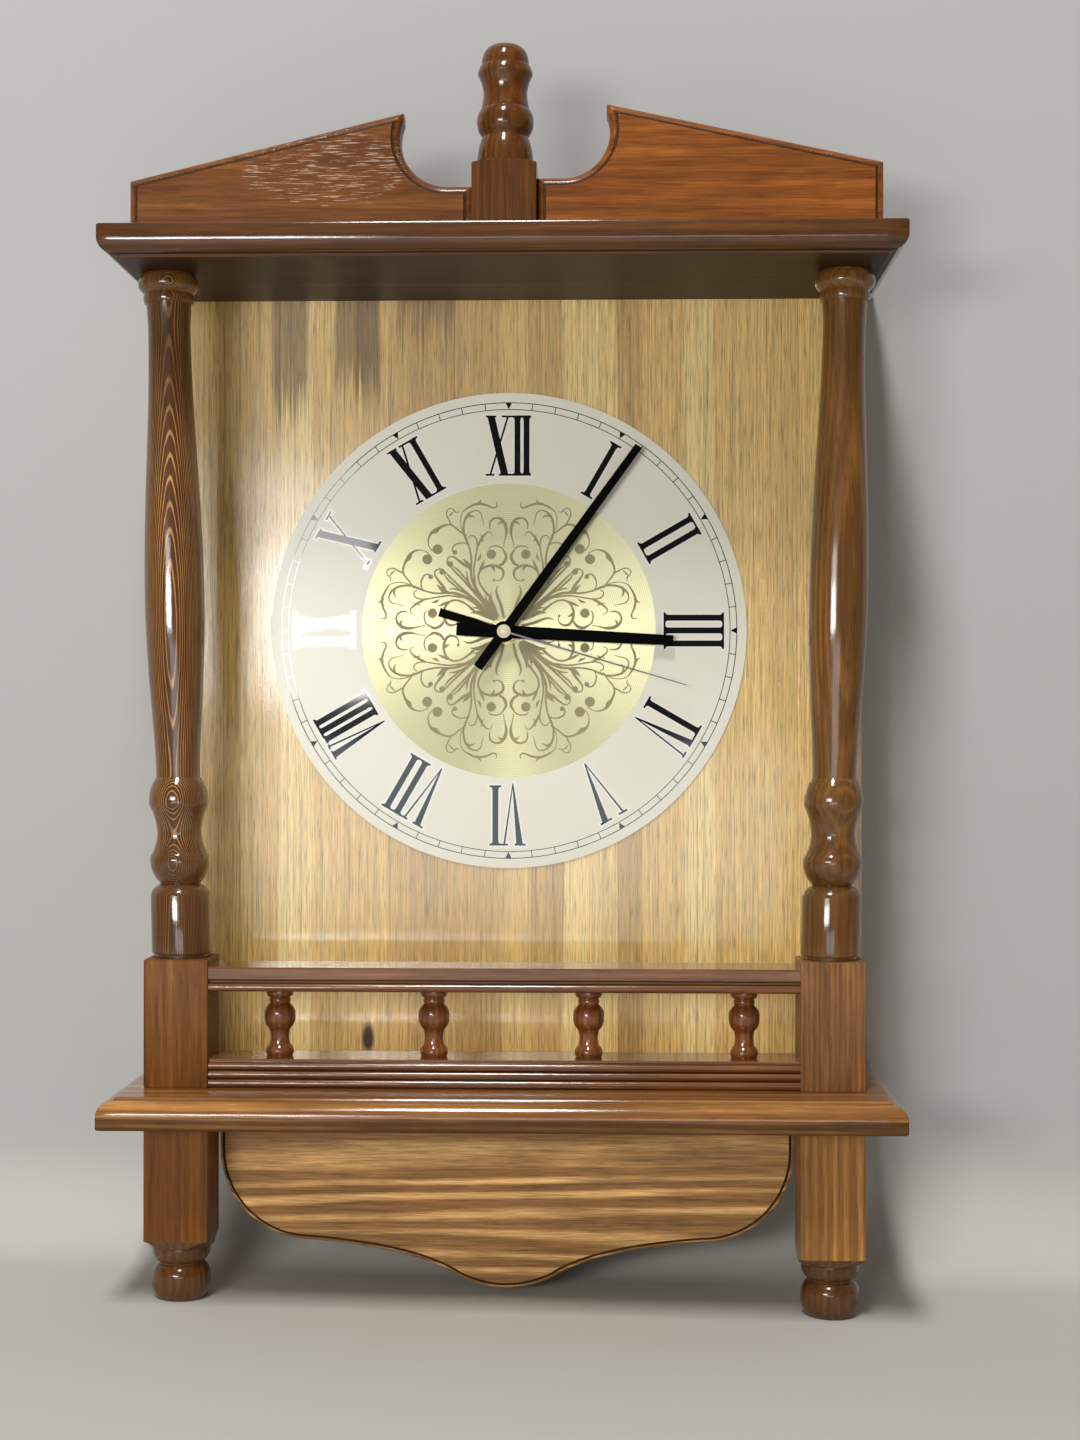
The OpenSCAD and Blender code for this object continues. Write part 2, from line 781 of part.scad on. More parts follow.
// The lathe's profile of the finial, from the middle of its block to its top
function finial_profile() =
    let (
        half = post_w / 2,
        z0 = finial_block_h,
        z1 = z0 + bell_h,
        z2 = z1 + finial_ball_h,
        z3 = z2 + finial_neck_h,
        z4 = z3 + knob_h * 0.3,
        z5 = z3 + knob_h
    )
    concat(
        [[0, 0], [half * sqrt(2) + 1, 0], [half * sqrt(2) + 1, z0 - 2.8]],
        bow([half * sqrt(2) + 0.1, z0 - 2.6], [half - 1, z0], 0.4),
        bow([bell_d / 2, z0], [bell_top_d / 2, z1], 0.9),
        bow([bell_top_d / 2 + 0.3, z1 + 1], [finial_ball_d / 2, z1 + finial_ball_h * 0.56], 0.8),
        bow([finial_ball_d / 2, z1 + finial_ball_h * 0.56], [bell_top_d / 2 + 0.5, z2], 0.7),
        bow([bell_top_d / 2 + 0.5, z2 + 0.4], [finial_neck_d / 2, z2 + finial_neck_h * 0.44], -0.2),
        bow([finial_neck_d / 2, z2 + finial_neck_h * 0.44], [knob_d / 2, z3], -0.7),
        bow([knob_d / 2, z3 + 0.2], [knob_d / 2 - 1.8, z4], 0.3),
        bow([knob_d / 2 - 2.2, z4 + 0.2], [0, z5], 5.2, 12));

module finial() {
    color("#6b3f1e") difference() {
        translate([0, post_y, crown_z]) intersection() {
            turned(finial_profile());
            translate([-post_w / 2, -post_w / 2, 0]) cube([post_w, post_w, 2 * finial_block_h
                + bell_h + finial_ball_h + finial_neck_h + knob_h]);
        }
        pediment_dowel_set(dowel_fit);
    }
}

// Dial and hands
// Depths in the movement are counted from the front of its case, back towards the wall.

function depth_y(u) = panel_y + rubber_t + u;

dial_front = -(rubber_t + panel_t + dial_t);
nut_front = dial_front - washer_t - nut_t;
bush_front = nut_front - 1;
hour_hand_u = bush_front - hand_gap;
minute_hand_u = hour_hand_u - hand_t - hand_gap;
second_hand_u = minute_hand_u - hand_t - hand_gap;
tube_proud = 0.2;
hour_tube_front = hour_hand_u - hand_t - tube_proud;
minute_tube_front = minute_hand_u - hand_t - tube_proud;
cap_h = 2.2;
second_front = second_hand_u - hand_t - cap_h / 2;

// Puts its children on the hands' axis, moved by a place in X and Z
module at_centre(place = [0, 0]) {
    translate([place[0] - axis_left, 0, dial_z + place[1]]) children();
}

// A round bar from depth a to depth b
module rod(r, a, b) {
    translate([0, depth_y(a), 0]) rotate([-90, 0, 0]) cylinder(r = r, h = b - a);
}

// A flat piece, drawn in X and Z, from depth a to depth b
module slab(a, b) {
    upright(depth_y(b), b - a) children();
}

module dial_plate() {
    color("#dfddcf") at_centre() difference() {
        translate([dial_right, 0, dial_up]) rod(dial_d / 2, dial_front, dial_front + dial_t);
        rod(bush_r + slack, dial_front - cut_extra, dial_front + dial_t + cut_extra);
    }
}

module hand_outline(length, width, tail) {
    polygon([[-width / 2, -tail], [width / 2, -tail], [width / 2, 0], [width * 0.4, length],
        [-width * 0.4, length], [-width / 2, 0]]);
    circle(d = hub_d);
}

module hour_hand() {
    color("#151515") at_centre() difference() {
        union() {
            slab(hour_hand_u - hand_t, hour_hand_u)
                rotate(-rest_minutes / 2) hand_outline(hour_l, hour_w, hour_tail);
            rod(hour_tube_r + 1, hour_hand_u - hand_t / 2, hour_hand_u + hand_gap / 2);
        }
        rod(hour_tube_r, hour_tube_front - cut_extra, hour_hand_u + hand_gap);
    }
}

module minute_hand() {
    color("#151515") at_centre() difference() {
        union() {
            slab(minute_hand_u - hand_t, minute_hand_u)
                rotate(-rest_minutes * 6) hand_outline(minute_l, minute_w, minute_tail);
            rod(minute_tube_r + 1, minute_hand_u - hand_t / 2, minute_hand_u + hand_gap / 2);
        }
        rod(minute_tube_r, minute_tube_front - cut_extra, minute_hand_u + hand_gap);
    }
}

module second_hand() {
    color("#1b1b1b") at_centre() difference() {
        union() {
            slab(second_hand_u - hand_t / 2, second_hand_u) rotate(-rest_seconds * 6) {
                translate([-needle_w / 2, 0]) square([needle_w, second_l]);
                translate([-second_tail_w / 2, -second_tail]) square([second_tail_w, second_tail]);
                circle(d = hub_d * 0.6);
            }
            rod(second_r + 0.6, second_hand_u - 0.1, second_hand_u + hand_gap / 2);
            translate([0, depth_y(second_hand_u - hand_t / 4), 0]) rotate([90, 0, 0])
                turned(concat([[0, 0], [3, 0], [3, 0.8]], bow([3, 0.8], [0, cap_h], 0.7, 6)));
        }
        rod(second_r, second_front, second_hand_u + hand_gap);
    }
}

// Movement

plate_u = movement_d - wall;
inner_w = movement_w - 2 * wall;
bay_wall = 0.8;
bay_top = -movement_w / 2 + wall + 2 * battery_r + 1.7;
pin_r = 0.8;
boss_r = 1.6;
boss_h = 0.8;
arbor_r = pivot_r + 0.2;
shoulder_u = wall + boss_h + run_gap;
rotor_r = 3;
rotor_gap = 0.6;
coil_r = 3.4;
coil_z = 22;
coil_x = [0.5, 21.5];
core_w = 3;
stator_u = 4.5;
board_u = stator_u + 4.7;
post_places = [[-24, 24.5], [-24, 19.2]];
leg_places = [[-2, 22], [24, 22]];

// Depths of the wheels' front faces
hour_u = 2.2;
motion_u = 4;
centre_u = 6;
third_u = 8.2;
second_u = 10.2;
inter_u = 12;
pinion_extra = 0.2;

// Numbers of teeth, which set the ratios of the train
rotor_teeth = 8;
inter_teeth = [48, 8];
second_teeth = [40, 8];
third_teeth = [64, 8];
centre_teeth = 60;
cannon_teeth = 12;
motion_teeth = [36, 10];
hour_teeth = 40;
setting_teeth = 12;

// Directions from one axis to the next
third_angle = 146;
inter_angle = 50;
rotor_angle = 25;
motion_angle = -10;
setting_angle = 10;

function polar(r, a) = [r * cos(a), r * sin(a)];
// Module of a pair of wheels: pitch diameter over teeth
function pair_module(dist, a, b) = 2 * dist / (a + b);
// Turn of the second wheel of a pair, at direction a from the first, that puts tooth into gap
function mesh_turn(turn, teeth, a, other) =
    a + 180 + (0.5 - (turn - a) * teeth / 360) * 360 / other;

third_at = polar(third_dist, third_angle);
inter_at = polar(inter_dist, inter_angle);
rotor_at = inter_at + polar(rotor_dist, rotor_angle);
motion_at = polar(motion_dist, motion_angle);
setting_m = pair_module(motion_dist, cannon_teeth, motion_teeth[0]);
setting_dist = setting_m * (motion_teeth[0] + setting_teeth) / 2;
setting_at = motion_at + polar(setting_dist, setting_angle);

rotor_m = pair_module(rotor_dist, inter_teeth[0], rotor_teeth);
inter_m = pair_module(inter_dist, second_teeth[0], inter_teeth[1]);
third_m = pair_module(third_dist, third_teeth[0], second_teeth[1]);
centre_m = pair_module(third_dist, centre_teeth, third_teeth[1]);
hour_m = pair_module(motion_dist, hour_teeth, motion_teeth[1]);

// Turns at rest, so that every pair is in mesh
inter_turn = mesh_turn(0, second_teeth[0], inter_angle, inter_teeth[1]);
rotor_turn = mesh_turn(inter_turn, inter_teeth[0], rotor_angle, rotor_teeth);
third_turn = mesh_turn(0, second_teeth[1], third_angle, third_teeth[0]);
centre_turn = mesh_turn(third_turn, third_teeth[1], third_angle + 180, centre_teeth);
motion_turn = mesh_turn(0, cannon_teeth, motion_angle, motion_teeth[0]);
hour_turn = mesh_turn(motion_turn, motion_teeth[1], motion_angle + 180, hour_teeth);
setting_turn = mesh_turn(motion_turn, motion_teeth[0], setting_angle, setting_teeth);

// A toothed disc of given teeth and module, turned so that a tooth points along turn
module teeth(n, m, turn) {
    tip = m * (n / 2 + 0.7);
    root = m * (n / 2 - 1.1);
    step = 360 / n;
    polygon([for (i = [0 : n - 1], c = [[root, -0.27], [tip, -0.09], [tip, 0.09], [root, 0.27]])
        polar(c[0], turn + step * (i + c[1]))]);
}

module wheel(n, m, u, turn) {
    slab(u, u + wheel_t) teeth(n, m, turn);
}

module pinion(n, m, u, turn) {
    slab(u - pinion_extra, u + wheel_t + pinion_extra) teeth(n, m, turn);
}

// An arbor with a thin pivot at each end
module arbor() {
    rod(arbor_r, shoulder_u, plate_u - run_gap);
    rod(pivot_r, shoulder_u - boss_h, plate_u + wall / 2);
}

module rounded_square(w, r) {
    square([w, w - 2 * r], center = true);
    square([w - 2 * r, w], center = true);
    for (x = [-1, 1], y = [-1, 1]) translate([x, y] * (w / 2 - r)) circle(r);
}

module movement_case() {
    color("#1f1f21") at_centre() difference() {
        union() {
            difference() {
                slab(0, plate_u) rounded_square(movement_w, corner_r);
                slab(wall, plate_u + cut_extra) square(inner_w, center = true);
            }
            slab(wall / 2, plate_u) translate([-inner_w / 2 - wall / 2, bay_top])
                square([inner_w + wall, bay_wall]);
            for (p = [third_at, inter_at, rotor_at, setting_at]) translate([p[0], 0, p[1]])
                rod(boss_r, wall / 2, wall + boss_h);
            translate([motion_at[0], 0, motion_at[1]]) {
                rod(boss_r, wall / 2, wall + boss_h);
                rod(pin_r, wall / 2, motion_u + wheel_t + 0.5);
            }
            for (p = post_places) translate([p[0], 0, p[1]]) rod(1.5, wall / 2, board_u);
            for (p = leg_places) translate([p[0], 0, p[1]]) rod(1.5, wall / 2, stator_u);
        }
        rod(bush_r, -cut_extra, wall + cut_extra);
        for (p = [third_at, inter_at, rotor_at, setting_at]) translate([p[0], 0, p[1]])
            rod(pivot_r + run_gap, wall / 2 - 0.1, wall + boss_h + cut_extra);
    }
}

module movement_cover() {
    color("#252528") at_centre() difference() {
        slab(plate_u, movement_d) rounded_square(movement_w, corner_r);
        slab(plate_u - cut_extra, movement_d + cut_extra)
            translate([-inner_w / 2 + slack, -inner_w / 2 + slack])
                square([inner_w - 2 * slack, inner_w / 2 + bay_top - 2 * slack]);
        for (p = [third_at, inter_at, rotor_at, [0, 0]]) translate([p[0], 0, p[1]])
            rod(pivot_r + run_gap, plate_u - cut_extra, plate_u + wall * 0.7);
        translate([setting_at[0], 0, setting_at[1]])
            rod(boss_r + 2 * run_gap, plate_u - cut_extra, movement_d + cut_extra);
    }
}

module threaded_bush() {
    thread = 0.35;
    pitch = 1;
    turns = floor((-bush_front - 2) / pitch);
    ribs = [for (i = [0 : turns - 1]) each
        [[bush_r, -bush_front - i * pitch - 0.4], [bush_r - thread, -bush_front - (i + 0.5) * pitch - 0.4]]];
    color("#c9a24a") at_centre() difference() {
        translate([0, depth_y(0), 0]) rotate([90, 0, 0]) turned(concat(
            [[0, -wall], [bush_r, -wall]],
            [for (i = [len(ribs) - 1 : -1 : 0]) ribs[i]],
            [[bush_r - thread, -bush_front], [0, -bush_front]]));
        rod(hour_tube_r + run_gap, bush_front - cut_extra, wall + cut_extra);
    }
}

module ring(outer, inner, a, b) {
    difference() {
        rod(outer, a, b);
        rod(inner, a - cut_extra, b + cut_extra);
    }
}

module rubber_washer() {
    color("#202020") at_centre() ring(14, bush_r + slack, -rubber_t, 0);
}

module brass_washer() {
    color("#c9a24a") at_centre() ring(nut_w * 0.6, bush_r + slack, dial_front - washer_t, dial_front);
}

module fixing_nut() {
    color("#d2ab52") at_centre() difference() {
        slab(nut_front, nut_front + nut_t) circle(d = nut_w / cos(30), $fn = 6);
        rod(bush_r + run_gap, nut_front - cut_extra, nut_front + nut_t + cut_extra);
    }
}

module hour_wheel() {
    color("#e8e4d8") at_centre() difference() {
        union() {
            wheel(hour_teeth, hour_m, hour_u, hour_turn);
            rod(hour_tube_r, hour_tube_front, hour_u + wheel_t);
        }
        rod(minute_tube_r + run_gap, hour_tube_front - cut_extra, hour_u + wheel_t + cut_extra);
    }
}

module cannon_pinion() {
    color("#d8c48a") at_centre() difference() {
        union() {
            pinion(cannon_teeth, setting_m, motion_u, 0);
            rod(minute_tube_r, minute_tube_front, centre_u + wheel_t + 0.4);
        }
        rod(second_r + run_gap, minute_tube_front - cut_extra, centre_u + wheel_t + cut_extra);
    }
}

module centre_wheel() {
    color("#e8e4d8") at_centre() difference() {
        wheel(centre_teeth, centre_m, centre_u, centre_turn);
        rod(minute_tube_r + run_gap, centre_u - cut_extra, centre_u + wheel_t + cut_extra);
    }
}

module third_wheel() {
    color("#f0ece2") at_centre(third_at) {
        wheel(third_teeth[0], third_m, third_u, third_turn);
        pinion(third_teeth[1], centre_m, centre_u, third_turn);
        arbor();
    }
}

module second_wheel() {
    color("#f0ece2") at_centre() {
        wheel(second_teeth[0], inter_m, second_u, 0);
        pinion(second_teeth[1], third_m, third_u, 0);
        rod(second_r, second_front, plate_u - run_gap);
        rod(pivot_r, plate_u - 1, plate_u + wall / 2);
    }
}

module intermediate_wheel() {
    color("#f0ece2") at_centre(inter_at) {
        wheel(inter_teeth[0], rotor_m, inter_u, inter_turn);
        pinion(inter_teeth[1], inter_m, second_u, inter_turn);
        arbor();
    }
}

module rotor() {
    color("#55565a") at_centre(rotor_at) {
        rod(rotor_r, stator_u - 1, stator_u + 2);
        pinion(rotor_teeth, rotor_m, inter_u, rotor_turn);
        arbor();
    }
}

module motion_wheel() {
    color("#f0ece2") at_centre(motion_at) difference() {
        union() {
            wheel(motion_teeth[0], setting_m, motion_u, motion_turn);
            slab(hour_u - pinion_extra / 2, motion_u) teeth(motion_teeth[1], hour_m, motion_turn);
        }
        rod(pin_r + run_gap, 0, motion_u + wheel_t + cut_extra);
    }
}

module setting_knob() {
    color("#33343a") at_centre(setting_at) {
        pinion(setting_teeth, setting_m, motion_u, setting_turn);
        rod(boss_r, shoulder_u, movement_d + 0.3);
        rod(pivot_r, shoulder_u - boss_h, shoulder_u);
        slab(movement_d + 0.3, movement_d + 0.3 + setting_h) teeth(24, knob_r / 12.7, 0);
    }
}

module stator() {
    ring_r = rotor_r + rotor_gap + 1.4;
    bar_z = rotor_at[1] + ring_r - 2.3;
    color("#a9acb0") at_centre() slab(stator_u, stator_u + 1) difference() {
        union() {
            translate(rotor_at) circle(ring_r);
            translate([leg_places[0][0] - 2, bar_z])
                square([rotor_at[0] - leg_places[0][0] + 1, core_w]);
            translate([rotor_at[0] + 1, bar_z]) square([leg_places[1][0] - rotor_at[0] + 1, core_w]);
            for (p = leg_places) translate([p[0] - 2, bar_z])
                square([4, coil_z - bar_z + core_w / 2]);
            translate([leg_places[0][0], coil_z - core_w / 2])
                square([leg_places[1][0] - leg_places[0][0], core_w]);
        }
        translate(rotor_at) circle(rotor_r + rotor_gap);
    }
}

module motor_coil() {
    color("#a5521f") at_centre() difference() {
        translate([coil_x[0], depth_y(stator_u + 0.5), coil_z]) rotate([0, 90, 0]) {
            cylinder(r = coil_r - 0.6, h = coil_x[1] - coil_x[0]);
            cylinder(r = coil_r, h = 1);
            translate([0, 0, coil_x[1] - coil_x[0] - 1]) cylinder(r = coil_r, h = 1);
        }
        slab(stator_u - 0.05, stator_u + 1.05) translate([coil_x[0] - 1, coil_z - core_w / 2 - 0.05])
            square([coil_x[1] - coil_x[0] + 2, core_w + 0.1]);
    }
}

module circuit_board() {
    color("#2f6b3c") at_centre() {
        slab(board_u, board_u + 0.8) translate([-26.4, 18.6]) square([46, 7.8]);
        translate([-8, 0, 22.4]) rod(2.6, board_u + 0.4, board_u + 1.6);
    }
}

module quartz_crystal() {
    color("#c8cbd0") at_centre([-20, 22.4])
        translate([0, depth_y(board_u + 1.8), 0]) rotate([0, 90, 0]) cylinder(r = 1, h = 6);
}

module battery() {
    start = -(battery_l + pole_l) / 2;
    color("#8f9499") at_centre([0, -movement_w / 2 + wall + battery_r + 0.3])
        translate([start, depth_y(wall + battery_r + 0.3), 0]) rotate([0, 90, 0]) {
            cylinder(r = battery_r, h = battery_l);
            cylinder(r = 2.75, h = battery_l + pole_l);
        }
}

module battery_contacts() {
    reach = inner_w / 2 - (battery_l + pole_l) / 2 - 0.2;
    color("#d9dadd") at_centre([0, -movement_w / 2 + wall + battery_r + 0.3])
        for (side = [0, 1]) mirror([side, 0, 0]) {
            translate([inner_w / 2 - 0.4, depth_y(wall), -4]) cube([0.4, 12, 8]);
            translate([inner_w / 2, depth_y(wall + battery_r + 0.3), 0]) rotate([0, -90, 0])
                cylinder(r1 = 2.5, r2 = 1.2, h = reach);
        }
}

back_panel();
cornice_board();
lower_shelf();
left_column();
right_column();
left_post_block();
right_post_block();
gallery_top_rail();
gallery_bottom_rail();
gallery_spindle_1();
gallery_spindle_2();
gallery_spindle_3();
gallery_spindle_4();
left_leg();
right_leg();
apron();
apron_glue_blocks();
left_pediment();
right_pediment();
finial();
left_batten();
right_batten();
bottom_batten();
hanging_rail();
hanger_plate();
hanger_screws();
post_dowels();
gallery_dowels();
pediment_dowels();
dial_plate();
rubber_washer();
brass_washer();
fixing_nut();
threaded_bush();
movement_case();
movement_cover();
hour_hand();
minute_hand();
second_hand();
hour_wheel();
cannon_pinion();
centre_wheel();
third_wheel();
second_wheel();
intermediate_wheel();
rotor();
motion_wheel();
setting_knob();
stator();
motor_coil();
circuit_board();
quartz_crystal();
battery();
battery_contacts();
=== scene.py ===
"""Dresses the wall clock: moulded and turned pine, oak back panel, printed dial, hands and movement."""
import math

import bpy
import bmesh
import numpy as np
from mathutils import Matrix, Vector
from mathutils.geometry import delaunay_2d_cdt


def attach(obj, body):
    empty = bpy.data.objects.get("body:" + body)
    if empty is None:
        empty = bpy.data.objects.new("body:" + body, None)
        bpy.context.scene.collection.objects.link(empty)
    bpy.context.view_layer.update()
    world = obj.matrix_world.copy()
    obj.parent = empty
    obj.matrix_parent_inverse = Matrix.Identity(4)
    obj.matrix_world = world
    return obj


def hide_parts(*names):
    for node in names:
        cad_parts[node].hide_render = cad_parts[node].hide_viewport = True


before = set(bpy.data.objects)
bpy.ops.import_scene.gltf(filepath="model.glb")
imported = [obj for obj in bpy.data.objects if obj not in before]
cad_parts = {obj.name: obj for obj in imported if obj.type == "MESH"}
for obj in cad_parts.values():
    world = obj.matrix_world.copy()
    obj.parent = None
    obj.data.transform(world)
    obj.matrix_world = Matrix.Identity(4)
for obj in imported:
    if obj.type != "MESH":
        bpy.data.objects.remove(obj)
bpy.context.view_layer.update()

# Heights in millimetres above the hanger plate's entry hole, as in the part's source
CORNICE_Z = 25.0
CROWN_Z = 43.0
DECK_Z = -455.5
SHELF_Z = -473.5
BLOCK_TOP_Z = -380.2
GALLERY_TOP_Z = -399.0
LEFT_SOLE = -581.8
RIGHT_SOLE = -589.2

# Half of the boards' width, their depth, and where the square posts stand
HALF_WIDTH = 230.5
DEPTH = 184.0
POST_X = 192.0
POST_Y = -125.0
POST_HALF = 19.0

# The hands' axis lies a little to the left of the dial's own centre and below it
AXIS = (-4.0, -184.0)
DIAL = (-1.5, -183.1)

# Fronts and backs of the sawn boards and of the dial's sheet
PEDIMENT_Y = (-134.0, -116.0)
APRON_Y = (-106.0, -88.0)
FACE_Y = -43.0


# ---------------------------------------------------------------- outlines

def bow(p, q, rise, count=8):
    """A shallow parabola from p to q: p + d t + s rise 4 t (1 - t), with s across d."""
    t = np.linspace(0, 1, count)[:, None]
    p, d = np.array(p, float), np.subtract(q, p)
    side = np.array([d[1], -d[0]]) / np.hypot(*d)
    return (p + d * t + side * rise * 4 * t * (1 - t)).tolist()


def swell(p, q, power, count=18):
    """A long taper: r = p0 + (q0 - p0)(1 - cos(pi t^power)) / 2 while z goes evenly from p1 to q1."""
    t = np.linspace(0, 1, count)
    r = p[0] + (q[0] - p[0]) * (1 - np.cos(np.pi * t ** power)) / 2
    return np.stack([r, p[1] + (q[1] - p[1]) * t], 1).tolist()


def arc(centre, radius, start, end, count=12):
    """Points centre + radius (cos a, sin a) for a from start to end in degrees."""
    a = np.radians(np.linspace(start, end, count))
    return np.stack([centre[0] + radius * np.cos(a), centre[1] + radius * np.sin(a)], 1).tolist()


def cubic(a, b, c, d, count=20):
    """The cubic curve a(1-t)^3 + 3b t(1-t)^2 + 3c t^2(1-t) + d t^3."""
    t = np.linspace(0, 1, count)[:, None]
    a, b, c, d = (np.array(v, float) for v in (a, b, c, d))
    return (a * (1 - t) ** 3 + 3 * b * t * (1 - t) ** 2 + 3 * c * t ** 2 * (1 - t) + d * t ** 3).tolist()


def mirrored(half):
    """A closed outline from its right half: the half, then the same points at -x in reverse."""
    return half + [[-x, z] for x, z in reversed(half) if abs(x) > 1e-6]


def rectangle(x0, y0, x1, y1, front=1.0, back=0.0, along=14):
    """A rectangle's outline, anticlockwise from its front left, with rounded front and back corners."""
    corners = [(x0, y0, front, 180), (x1, y0, front, 270), (x1, y1, back, 0), (x0, y1, back, 90)]
    points = []
    for k, (x, y, r, start) in enumerate(corners):
        cx, cy = x + (r if x == x0 else -r), y + (r if y == y0 else -r)
        points += arc((cx, cy), r, start, start + 90, 4) if r else [[x, y]]
        nx, ny, nr, turn = corners[(k + 1) % 4]
        ncx, ncy = nx + (nr if nx == x0 else -nr), ny + (nr if ny == y0 else -nr)
        a = math.radians(turn)
        target = np.array([ncx + nr * math.cos(a), ncy + nr * math.sin(a)])
        here = np.array(points[-1])
        points += [(here + (target - here) * t).tolist() for t in np.linspace(0, 1, along)[1:-1]]
    return np.array(points)


# ---------------------------------------------------------------- surfaces

# Edges that turn by more than this many degrees stay crisp
ARRIS = 32


def piece(name, points, faces, material, slot, body="case", stands_for=()):
    """Makes one piece from points in millimetres, as metres, with its doubles merged and its faces
    turned outwards, and puts it on its body."""
    mesh = bpy.data.meshes.new(name)
    mesh.from_pydata((np.asarray(points, float) / 1000).tolist(), [], faces)
    work = bmesh.new()
    work.from_mesh(mesh)
    bmesh.ops.remove_doubles(work, verts=work.verts, dist=1e-7)
    bmesh.ops.recalc_face_normals(work, faces=work.faces)
    work.to_mesh(mesh)
    work.free()
    mesh.shade_smooth()
    mesh.set_sharp_from_angle(angle=math.radians(ARRIS))
    mesh.materials.append(material)
    thing = bpy.data.objects.new(name, mesh)
    bpy.context.scene.collection.objects.link(thing)
    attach(thing, body)
    if stands_for:
        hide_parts(*stands_for)
    return thing


def stacked(rings):
    """Points and faces of a stack of equal closed rings, capped at both ends."""
    rings = np.asarray(rings, float)
    n, m = rings.shape[:2]
    i = np.arange(n - 1)[:, None] * m
    j = np.arange(m)
    k = (j + 1) % m
    quads = np.stack([i + j, i + k, i + m + k, i + m + j], -1).reshape(-1, 4).tolist()
    return rings.reshape(-1, 3), quads + [list(range(m)), list(range((n - 1) * m, n * m))]


def turned(profile, x, y, z, lean=0.0, sides=96):
    """A turning: ring (x + r cos a + lean h, y + r sin a, z + h) at each radius r and height h."""
    p = np.asarray(profile, float)
    a = np.linspace(0, 2 * np.pi, sides, endpoint=False)[None, :]
    r, h = p[:, :1], p[:, 1:2]
    rings = [x + r * np.cos(a) + lean * h, y + r * np.sin(a), z + h + 0 * a]
    return stacked(np.stack(rings, -1))


def squared(profile, x, y, z, half, along=22):
    """A square stick with a turning: each ring lies at min(r, distance to the stick's side)."""
    base = rectangle(-half, -half, half, half, 0.9, 0.9, along)
    rings = []
    for r, h, *inset in profile:
        side = base * (1 - (inset[0] if inset else 0) / half)
        side = side * np.minimum(1, r / np.hypot(side[:, 0], side[:, 1]))[:, None]
        rings.append(np.column_stack([x + side[:, 0], y + side[:, 1], np.full(len(base), z + h)]))
    return stacked(rings)


def moulded(profile, half_width, depth):
    """A board with its profile run round the front and both ends: each (inset, z) is a ring."""
    rings = []
    for inset, z in profile:
        edge = rectangle(inset - half_width, inset - depth, half_width - inset, 0, 1.2, 0, 40)
        rings.append(np.column_stack([edge, np.full(len(edge), z)]))
    return stacked(rings)


def run(profile, x0, x1, count=30):
    """A straight moulding: the closed profile (y, z) repeated at stations along x."""
    p = np.asarray(profile, float)
    rings = [np.column_stack([np.full(len(p), x), p]) for x in np.linspace(x0, x1, count)]
    return stacked(rings)


def dense(outline, step):
    """The closed outline with points added so that none lie further apart than step."""
    out = []
    for p, q in zip(outline, outline[1:] + outline[:1]):
        p, q = np.array(p, float), np.array(q, float)
        n = max(1, int(math.ceil(np.hypot(*(q - p)) / step)))
        if np.hypot(*(q - p)) > 1e-6:
            out += [(p + (q - p) * t / n) for t in range(n)]
    return np.array(out)


def routed(outline, front, back, rout, step=0.9, spacing=1.6):
    """A sawn board with a stepped, rounded front edge: y = front + step + rout
    - sqrt(rout^2 - (rout - d)^2) at distance d < rout from the outline, and y = front beyond it."""
    edge = dense(outline, spacing)
    ahead, behind = np.roll(edge, -1, 0) - edge, edge - np.roll(edge, 1, 0)
    ahead /= np.hypot(ahead[:, 0], ahead[:, 1])[:, None]
    behind /= np.hypot(behind[:, 0], behind[:, 1])[:, None]
    inward = np.column_stack([-(ahead + behind)[:, 1], (ahead + behind)[:, 0]])
    inward /= np.hypot(inward[:, 0], inward[:, 1])[:, None]
    mitre = np.clip(inward[:, 0] * -ahead[:, 1] + inward[:, 1] * ahead[:, 0], 0.3, 1)
    inner = []
    offsets = [rout * (1 - math.cos(turn)) for turn in np.radians(np.linspace(0, 90, 9)[1:])]
    for d in offsets + [rout + 0.3]:
        ring = edge + inward * (d / mitre)[:, None]
        inner.append(ring[away(ring, edge) > 0.985 * d])
    spots = np.vstack([edge] + inner)
    links = [(i, (i + 1) % len(edge)) for i in range(len(edge))]
    flat, _, faces, *_ = delaunay_2d_cdt([Vector(p) for p in spots], links, [], 1, 1e-5)
    flat = np.array([tuple(p) for p in flat])
    d = away(flat, edge)
    hollow = rout - np.sqrt(np.maximum(rout ** 2 - np.maximum(rout - d, 0) ** 2, 0))
    depth = front + hollow + step * np.clip((rout + 0.25 - d) / 0.2, 0, 1)
    tops = np.column_stack([flat[:, 0], depth, flat[:, 1]])
    n, m = len(flat), len(edge)
    rear = np.column_stack([edge[:, 0], np.full(m, back), edge[:, 1]])
    near = [int(np.argmin(np.hypot(*(flat - p).T))) for p in edge]
    walls = [[near[i], n + i, n + (i + 1) % m, near[(i + 1) % m]] for i in range(m)]
    return np.vstack([tops, rear]), [list(f) for f in faces] + walls + [list(range(n, n + m))]


def away(points, edge):
    """Each point's distance to the closed outline."""
    a, b = edge[None], np.roll(edge, -1, 0)[None]
    p = points[:, None]
    ab = b - a
    t = np.clip(((p - a) * ab).sum(-1) / np.maximum((ab ** 2).sum(-1), 1e-12), 0, 1)
    return np.hypot(*np.moveaxis(p - a - ab * t[..., None], -1, 0)).min(1)


